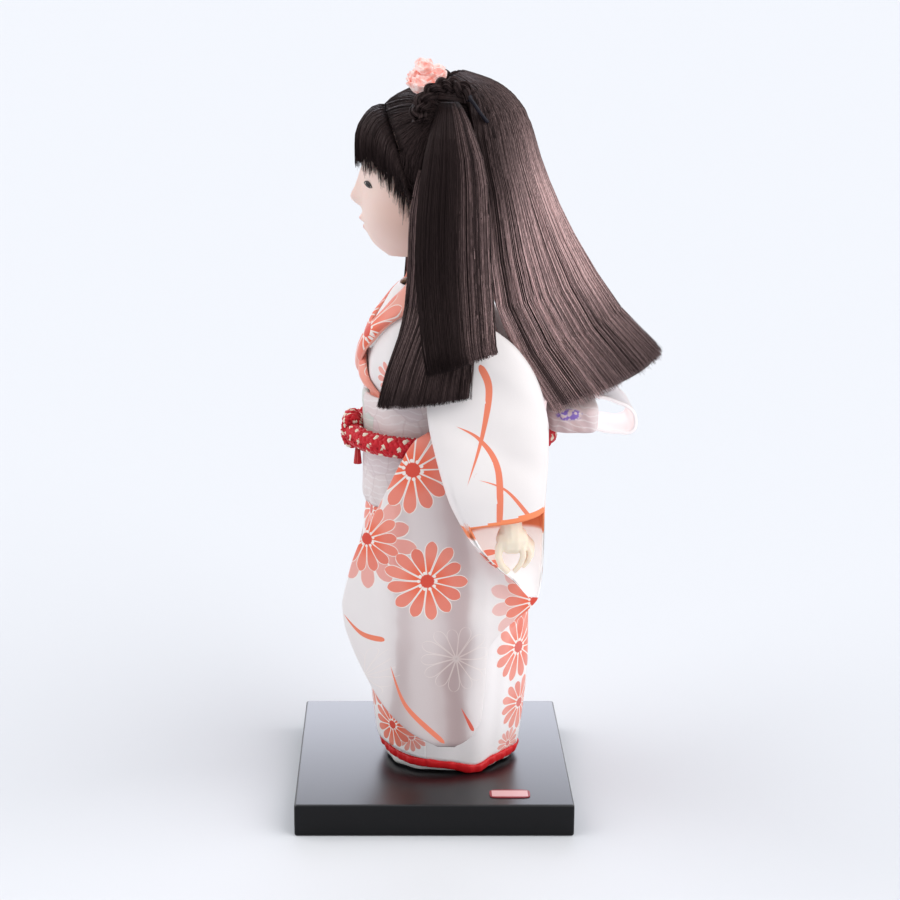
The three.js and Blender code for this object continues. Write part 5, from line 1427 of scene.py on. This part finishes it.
cap = grid("hair_cap_core", 150, 70, cap_shape)
thicken(cap, 0.0016)
done(cap, HAIR_CORE, "head", ("hair_cap",))


def strand_run(start, end, steps, grow):
    share = np.linspace(0, 1, steps)[None, :, None]
    return on_head(start[:, None] * (1 - share) + end[:, None] * share, grow)


def thin(count, steps, size, tip=0.06):
    share = np.linspace(0, 1, steps)
    ends = np.minimum(np.clip(share / 0.06, 0.35, 1), np.clip((1 - share) / tip, 0.3, 1))
    return RNG.uniform(0.75, 1.2, (count, 1)) * size * ends[None]


def arched(count, low, high, reach):
    return 2.2 + RNG.uniform(0, reach, (count, 1)) * np.sin(np.linspace(low, high, CAP_STEPS))[None]


def strand_piece(name, paths, size, tip=0.06):
    count, steps, _ = paths.shape
    strands = tubes(name, paths, thin(count, steps, size, tip), 3, RNG.uniform(0, STRAND_TINT, count))
    done(strands, HAIR, "head", ())


cap_paths = []
for _, side in SIDES:
    count = SIDE_STRANDS
    height = RNG.uniform(316, 367, count)
    start = head(side * (parting(height) + RNG.uniform(0, 3, count)), height)
    end = at(side * RNG.uniform(29, 34, count), 4 + wander(count, 3.2), 366 + wander(count, 2.4))
    cap_paths.append(strand_run(start, end, CAP_STEPS, arched(count, 0.4, 2.6, 1.1)))
    count = NAPE_STRANDS
    start = at(side * (31 + wander(count, 2.0)), 4 + wander(count, 3.0), 366 + wander(count, 2))
    end = head(side * RNG.uniform(100, 150, count), RNG.uniform(318, 350, count))
    grow = 2.3 + RNG.uniform(0, 0.8, (count, 1)) * np.ones((1, CAP_STEPS))
    cap_paths.append(strand_run(start, end, CAP_STEPS, grow))
x = RNG.uniform(-19, 19, CROWN_STRANDS)
start = on_head(at(x, -22 + 0.012 * x**2, 364), np.zeros(CROWN_STRANDS))
end = on_head(at(x * 1.3, 26, 362), np.zeros(CROWN_STRANDS))
cap_paths.append(strand_run(start, end, CAP_STEPS, arched(CROWN_STRANDS, 0.3, 2.8, 1.0)))
strand_piece("hair_cap_strands", np.concatenate(cap_paths), 0.22)


def fringe_ends(turn):
    turns, levels = np.broadcast_arrays(turn[:, None], FRINGE_LEVELS)
    points = head(turns, levels, FRINGE_OFFSET)
    behind = points[..., 1] > -28.8 + (369 - (points[..., 2] - BOARD_TOP)) * 0.3388
    first = np.where(behind.any(1), np.argmax(behind, axis=1), len(FRINGE_LEVELS) - 1)
    top = FRINGE_LEVELS[first]
    y = head(turn, np.full(len(turn), 328.0), FRINGE_OFFSET)[:, 1]
    low = np.interp(y, (-43, -36, -21, -12), (337, 333, 325, 319.5))
    return top, np.minimum(low, top - 1)


def hump(share):
    return 2.0 * bump(share, 0.36, 0.3) * np.clip(share / 0.15, 0.1, 1)


def fringe_shape(u, v):
    turn = -FRINGE_TURN + 2 * FRINGE_TURN * u
    top, low = fringe_ends(turn)
    height = low + 4.5 + np.maximum(top - low - 4.5, 0.3) * v
    grow = 3.2 * np.clip(np.minimum(1 - v, 0.6) / 0.12, 0.1, 1) ** 0.5 + hump(1 - v)
    return head(turn, height, grow * (1 - 0.75 * ramp(np.abs(turn), 68, 78)))


fringe = grid("fringe_core", 110, 30, fringe_shape)
thicken(fringe, 0.0022)
done(fringe, HAIR_CORE, "head", ("fringe",))
count = FRINGE_STRANDS
turn = RNG.uniform(-FRINGE_TURN, FRINGE_TURN, count)
centre = RNG.uniform(-FRINGE_TURN - 1, FRINGE_TURN + 1, FRINGE_TUFTS)
pick = np.argmin(np.abs(turn[:, None] - centre[None]), axis=1)
top, low = fringe_ends(turn)
low = low + wander(FRINGE_TUFTS, 1.5)[pick] + wander(count, 1.3) - 0.5
share = np.linspace(0, 1, CAP_STEPS)[None] ** 1.3
gather = 0.55 * ramp(share, 0.6, 1.0)
spread = turn[:, None] + (centre[pick] - turn)[:, None] * gather + wander((count, 1), 0.8) * share**2
height = top[:, None] - (top - low)[:, None] * share
lift = RNG.uniform(2.4, 4.6, (count, 1)) * np.clip(share / 0.14 + 0.25, 0, 1) ** 0.6
lift = lift + hump(share) - 1.2 * share**3
fringe_paths = [head(spread, np.clip(height, 300, 371), lift)]
for _, side in SIDES:
    turn = RNG.uniform(60, 86, TEMPLE_STRANDS)
    top = RNG.uniform(326, 342, TEMPLE_STRANDS)
    low = 323 - (6 + 12 * ramp(turn, 60, 68)) * RNG.uniform(0, 1, TEMPLE_STRANDS) ** 1.2
    height = top[:, None] - (top - low)[:, None] * share
    slant = side * (turn[:, None] - RNG.uniform(0, 4, (TEMPLE_STRANDS, 1)) * share)
    fringe_paths.append(head(slant, height, RNG.uniform(2.2, 3.4, (TEMPLE_STRANDS, 1)) - 0.9 * share))
strand_piece("fringe_strands", np.concatenate(fringe_paths), 0.23, 0.4)

# Hanging hair lies on the head above and the clothes below
HEAD_BENDS = bends_to("doll_body", HEAD_HEIGHT, 236)
LOCK_BENDS = bends_to("doll_body", HEAD_HEIGHT, 268)
LOCK_STEPS, LOCK_CLUMPS, CORE_ROWS, CORE_END = 13, 130, 60, 0.985
MIRROR = {1: np.array((1, 1, 1)), -1: np.array((-1, 1, 1))}
ON_BOARD = np.array((0, 0, BOARD_TOP))


def bundle(side, table, share, along, depth):
    rows = smooth(table, along)
    front, back = rows[..., :3], rows[..., 3:6]
    across = back - front
    out = np.stack([across[..., 1], -across[..., 0], np.zeros_like(across[..., 0])], -1)
    out /= np.linalg.norm(out, axis=-1, keepdims=True)
    room = np.clip(share * (1 - share), 0, 1)
    swell = 4 * rows[..., 7] * room + rows[..., 6] * depth * np.sqrt(room)
    points = front + across * share[..., None] + out * swell[..., None]
    return points * MIRROR[side] + ON_BOARD


def clumped(count, clumps, spread):
    centre = RNG.uniform(0, 1, clumps)
    pick = RNG.integers(0, clumps, count)
    return np.clip(centre[pick] + wander(count, spread), 0.004, 0.996), pick


for label, side in SIDES:
    for kind, table, count in (("side_lock", LOCK, 1100), ("ponytail", TAIL, 1200)):
        def core_shape(u, v):
            turn = side * 2 * math.pi * u
            share = 0.5 - 0.5 * np.cos(turn)
            depth = 0.86 * edge_sign(turn) * open_share(v)
            return bundle(side, table, 0.02 + 0.96 * share, first + (last - first) * (1 - v), depth)

        # The lower half of a side lock lies on the sleeve
        parts = [("", 0, CORE_END, slice(0, LOCK_STEPS), "head", HEAD_BENDS)]
        if kind == "side_lock":
            half = LOCK_STEPS // 2
            arm_bends = bends_to(label + "_arm", *SHOULDER_BENDS)
            parts = [
                ("", 0, 0.5, slice(0, half + 1), "head", LOCK_BENDS),
                ("_low", 0.5, CORE_END, slice(half, LOCK_STEPS), "doll_body", arm_bends),
            ]
        for part, first, last, _, body, bends in parts:
            core = grid(f"{label}_{kind}{part}_core", 64, CORE_ROWS // len(parts), core_shape, closed=True)
            done(core, HAIR_CORE, body, (f"{label}_{kind}",), bends)
        one, clumps = (count, 1), (LOCK_CLUMPS, 1)
        share, pick = clumped(count, LOCK_CLUMPS, 0.014)
        along = np.linspace(0, 1, LOCK_STEPS)[None]
        stray = (RNG.uniform(0, 1, one) < 0.05) * 1.0
        length = 1.012 - np.abs(wander(one, 0.014)) - 0.03 * stray * RNG.uniform(-1, 1, one)
        depth = RNG.choice((-1, 1), count, p=(0.25, 0.75)) * RNG.uniform(0.75, 1.06, count)
        depth = depth + wander(LOCK_CLUMPS, 0.05)[pick]
        drift = wander(one, 0.006) * along**2 + wander(clumps, 0.012)[pick] * along
        drift = drift + 0.004 * np.sin(7 * along + RNG.uniform(0, 6, clumps)[pick]) * along
        drift = drift + stray * wander(one, 0.05) * along**2
        depth = depth[:, None] + stray * np.abs(wander(one, 0.25)) * along**2
        paths = bundle(side, table, np.clip(share[:, None] + drift, 0.002, 0.998), along * length, depth)
        paths = paths + wander((count, 3), 0.4)[:, None] * (along[..., None] ** 3)
        tone = np.clip(wander(LOCK_CLUMPS, 0.05)[pick] + 0.03 + 0.4 * RNG.uniform(0, 1, count) ** 2, 0, 1)
        # painted light in the strands' tint: side locks lighter near the root, ponytails lighter at the back
        # and towards the ends
        if kind == "side_lock":
            painted_light = 1.35 - 1.15 * along
        else:
            painted_light = 0.05 + ramp(share, 0.45, 0.9)[:, None] * (0.3 + 0.95 * along)
        size, tint_and_painted_light = thin(count, LOCK_STEPS, 0.22, 0.2), tone[:, None] * painted_light
        for part, _, _, run, body, bends in parts:
            strands = tubes(f"{label}_{kind}{part}_strands", paths[:, run], size[:, run], 3, tint_and_painted_light[:, run])
            done(strands, HAIR, body, (), bends)

# Back hair
SHARES = np.linspace(-1, 1, 13)
BACK_ROWS, BACK_COLUMNS, BACK_STEPS, BACK_CLUMPS = 90, 97, 14, 240


def back_rows(inward):
    rows = []
    for height in (371.0, 365.0, 354.0):
        half, back = (between(HEAD, k, np.array(height)) for k in (1, 3))
        taper = 0 if inward else 1 - 0.45 * np.abs(SHARES) ** 3
        swing = 66 + 8 * ramp(height, 371, 340)
        x, y = oval(180 - swing * SHARES, half, back, back, HEAD_SQUARENESS)
        grow = 3.9 + 6.1 * taper * np.ones_like(SHARES)
        rows.append(grown(at(x, HEAD_Y + y, height), grow[:, None]))
    for high, far, low, wide, near, thick in FALL:
        depth = thick if inward else 0
        turn = SHARES * math.radians(88)
        back = np.cos(turn)
        x = (wide - depth * 0.5) * np.sin(turn)
        y = near - depth * 0.02 + (far - depth * 0.8 - near + depth * 0.02) * back
        rows.append(at(x, y, low + (high - depth * 0.55 - low) * back))
    dense = smooth(np.array(rows), np.linspace(0, 1, BACK_ROWS))
    return smooth(dense.swapaxes(0, 1), np.linspace(0, 1, BACK_COLUMNS)).swapaxes(0, 1)


BACK_OUT, BACK_IN = back_rows(False), back_rows(True)


def look_up(table, along, share):
    r = np.clip(along, 0, 1) * (BACK_ROWS - 1.001)
    c = np.clip(share, 0, 1) * (BACK_COLUMNS - 1.001)
    i, j = r.astype(int), c.astype(int)
    f, g = (r - i)[..., None], (c - j)[..., None]
    low = table[i, j] * (1 - g) + table[i, j + 1] * g
    return low * (1 - f) + (table[i + 1, j] * (1 - g) + table[i + 1, j + 1] * g) * f


def back_hair(along, share, depth):
    depth = depth[..., None]
    return look_up(BACK_OUT, along, share) * (1 - depth) + look_up(BACK_IN, along, share) * depth


def back_core(u, v):
    turn = 2 * math.pi * u
    share = 0.5 - 0.5 * np.cos(turn)
    depth = 0.5 - 0.42 * edge_sign(turn) * open_share(v)
    return back_hair(0.01 + 0.975 * (1 - v), 0.006 + 0.988 * share, depth)


core = grid("back_hair_core", 200, 90, back_core, closed=True)
done(core, HAIR_CORE, "head", ("back_hair",), HEAD_BENDS)
for part, count, depths, starts in (
    ("upper", 2350, (-0.05, 0.14), (0, 0.05)), ("lower", 1500, (0.3, 1.0), (0.3, 0.45)),
):
    one, clumps = (count, 1), (BACK_CLUMPS, 1)
    share, pick = clumped(count, BACK_CLUMPS, 0.006)
    along = np.linspace(0, 1, BACK_STEPS)[None] ** 1.6
    stray = (RNG.uniform(0, 1, one) < 0.04) * 1.0
    length = 1 - np.abs(wander(one, 0.010)) - 0.03 * stray * RNG.uniform(-0.6, 1, one)
    depth, start = RNG.uniform(*depths, count), RNG.uniform(*starts, one)
    lift = wander(BACK_CLUMPS, 0.03)[pick][:, None] * along - stray * np.abs(wander(one, 0.12)) * along**2
    drift = wander(clumps, 0.007)[pick] * along**1.5 + wander(one, 0.003) * along**2
    drift = drift + 0.0025 * np.sin(8 * along + RNG.uniform(0, 6, clumps)[pick]) * along
    down = start + (1 - start) * along
    edge = np.minimum(share, 1 - share)[:, None]
    length = length - 0.014 * ramp(edge, 0.12, 0.25)
    paths = back_hair(down * length, share[:, None] + drift, depth[:, None] + lift)
    paths = paths + wander((count, 3), 0.5)[:, None] * (along[..., None] ** 4)
    tone = np.clip(wander(BACK_CLUMPS, 0.12)[pick] + RNG.uniform(0.1, 0.9, count), 0, 1)[:, None]
    # painted light in a band down the back hair, lower near its side edges, and painted shade at those edges
    # up high
    painted_light = 0.1 + 1.35 * bump(down, 0.64 + 0.2 * ramp(edge, 0.3, 0.05), 0.27)
    shade = 1 - 0.88 * ramp(edge, 0.08, 0.01) * ramp(down, 0.75, 0.4)
    size = thin(count, BACK_STEPS, 0.25, 0.15)
    strands = tubes(f"back_hair_{part}_strands", paths, size, 3, tone * painted_light * shade)
    done(strands, HAIR, "head", (), HEAD_BENDS)

# Braids, flowers and pins
BRAID_STEPS, FIBRES = 46, 30
PIN = np.array([(34.8, 15.6, 370.2), (36.2, 18.6, 367.2), (36.2, 22.4, 361.8), (35.6, 26.4, 357)])
PIN_STEPS = 26
# middle, radius, petals, first angle, how far a petal closes
FLOWER_RINGS = (
    ((17.5, -5.2, 377.4), 8.6, 5, 0.3, 1.75), ((17.5, -5.2, 378), 6.6, 4, 0.9, 2.0),
    ((17.5, -5.2, 378.6), 4.4, 3, 0.2, 2.3), ((18.5, -5.6, 384.2), 4.2, 4, 0.5, 1.9),
    ((18, 0.5, 380.5), 4.6, 4, 1.0, 2.1),
)


def unit(ways):
    return ways / np.linalg.norm(ways, axis=1, keepdims=True)


def braid_fibres(line):
    along = unit(np.gradient(line, axis=0))
    out = line - HEAD_CENTRE
    out = unit(out - along * np.sum(out * along, axis=1, keepdims=True))
    flat = np.cross(along, out)
    fibres, tones = [], []
    for strand in range(3):
        angle = np.linspace(0, 2 * math.pi * 2.3, BRAID_STEPS) + strand * 2 * math.pi / 3
        middle = line + 2.3 * np.sin(angle)[:, None] * flat + 1.4 * np.sin(2 * angle)[:, None] * out
        for _ in range(FIBRES):
            turn, far = RNG.uniform(0, 2 * math.pi), 2.2 * math.sqrt(RNG.uniform(0.1, 1))
            fibres.append(middle + far * (math.cos(turn) * flat + math.sin(turn) * out))
            tones.append(RNG.uniform(0, 0.03))
    return np.array(fibres), np.array(tones)


def petal_shape(side, k, middle, radius, petals, start, close):
    up = np.array((side * 0.35, 0.0, 0.94))
    wide, tall = np.array((0.0, 1.0, 0.0)), np.array((-side * 0.94, 0.0, 0.35))

    def shape(u, v):
        span = (u - 0.5) * 2
        bend = close * v * (1 - 0.22 * span**2)
        angle = start + 2 * math.pi * (k + 0.72 * span) / petals
        crinkle = 0.05 * np.sin(span * 6 + k * 2.1) * v**2 + 0.035 * np.sin(span * 15 + k) * v**3
        ball = radius * (1 + 0.07 * (k % 2) + crinkle + 0.03 * np.sin(v * 11 + k))
        far, lift = ball * np.sin(bend), -0.78 * ball * np.cos(bend)
        ways = ((far * np.cos(angle), wide), (far * np.sin(angle), tall), (lift, up))
        return np.array(middle) * MIRROR[side] + ON_BOARD + sum(size[:, None] * way for size, way in ways)
    return shape


for label, side in SIDES:
    line = smooth(BRAID, np.linspace(0, 1, BRAID_STEPS)) * MIRROR[side] + ON_BOARD
    fibres, tones = braid_fibres(line)
    braid = tubes(label + "_braid_strands", fibres, 0.46, 4, tones)
    done(braid, HAIR, "head", (label + "_braid",))

    petals = [petal_shape(side, k, *ring) for ring in FLOWER_RINGS for k in range(ring[2])]
    flower = join([grid(label + "_petal", 20, 12, petal) for petal in petals])
    flower.name = flower.data.name = label + "_crepe_flower"
    apply(flower, "SOLIDIFY", thickness=0.0008, offset=0)
    done(flower, CORAL, "head", (label + "_flower",))

    shares = np.linspace(0, 1, PIN_STEPS)
    size = 0.95 + 1.2 * bump(shares, 0.1, 0.09)
    size[0] = size[-1] = 0.3
    pin = tubes(label + "_hairpin_fine", (smooth(PIN, shares) * MIRROR[side] + ON_BOARD)[None], size, 14)
    done(pin, HORN, "head", (label + "_hairpin",))

# Stage, light and camera
bpy.ops.mesh.primitive_plane_add(size=80)
floor = bpy.context.object
floor.name = "floor"
made, *_ = material("floor", (0.762, 0.777, 0.81), 0.9, Specular_IOR_Level=0.0)
floor.data.materials.append(made)
floor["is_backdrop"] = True

world = bpy.data.worlds.new("studio")
bpy.context.scene.world = world
world.use_nodes = True
tree = world.node_tree
rays = add_node(tree, "LightPath", {})
seen = calc(tree, "MAXIMUM", rays["Is Camera Ray"], rays["Is Glossy Ray"])
seen = calc(tree, "MAXIMUM", seen, rays["Is Transmission Ray"])
backdrop = tree.nodes["Background"]
link(tree, (0.91, 0.935, 0.985), backdrop.inputs["Color"])
soft = add_node(tree, "Background", {"Color": (0.96, 0.98, 1.0), "Strength": 0.42})
both = add_node(tree, "MixShader", {0: seen, 1: soft[0], 2: backdrop.outputs[0]})
link(tree, both[0], tree.nodes["World Output"].inputs[0])


def lamp(name, way, power, spread, colour=(1, 1, 1)):
    data = bpy.data.lights.new(name, "SUN")
    data.energy, data.angle, data.color = power, math.radians(spread), colour
    obj = bpy.data.objects.new(name, data)
    bpy.context.collection.objects.link(obj)
    way = np.array(way) / np.linalg.norm(way)
    obj.rotation_euler = (math.acos(way[2]), 0, math.atan2(way[1], way[0]) + math.pi / 2)
    obj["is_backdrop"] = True


lamp("back_light", (0.45, 1.0, 0.8), 2.1, 70)
lamp("front_light", (0.0, -1.0, 0.85), 1.4, 70)
lamp("far_light", (-1.0, 0.05, 0.43), 0.92, 45, (0.93, 0.96, 1.12))

CAMERA_PLACE, CAMERA_DROP = (1.0286, -0.0197, 0.459), 14.42
camera_data = bpy.data.cameras.new("photo")
camera_data.lens, camera_data.sensor_width = 77.48, 36
camera_data.shift_x, camera_data.clip_end = 0.0584, 200
camera = bpy.data.objects.new("photo", camera_data)
bpy.context.collection.objects.link(camera)
camera.location = CAMERA_PLACE
camera.rotation_euler = (math.radians(90 - CAMERA_DROP), 0, math.radians(90))
bpy.context.scene.camera = camera
bpy.context.scene.view_settings.view_transform = "Standard"

low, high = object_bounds()
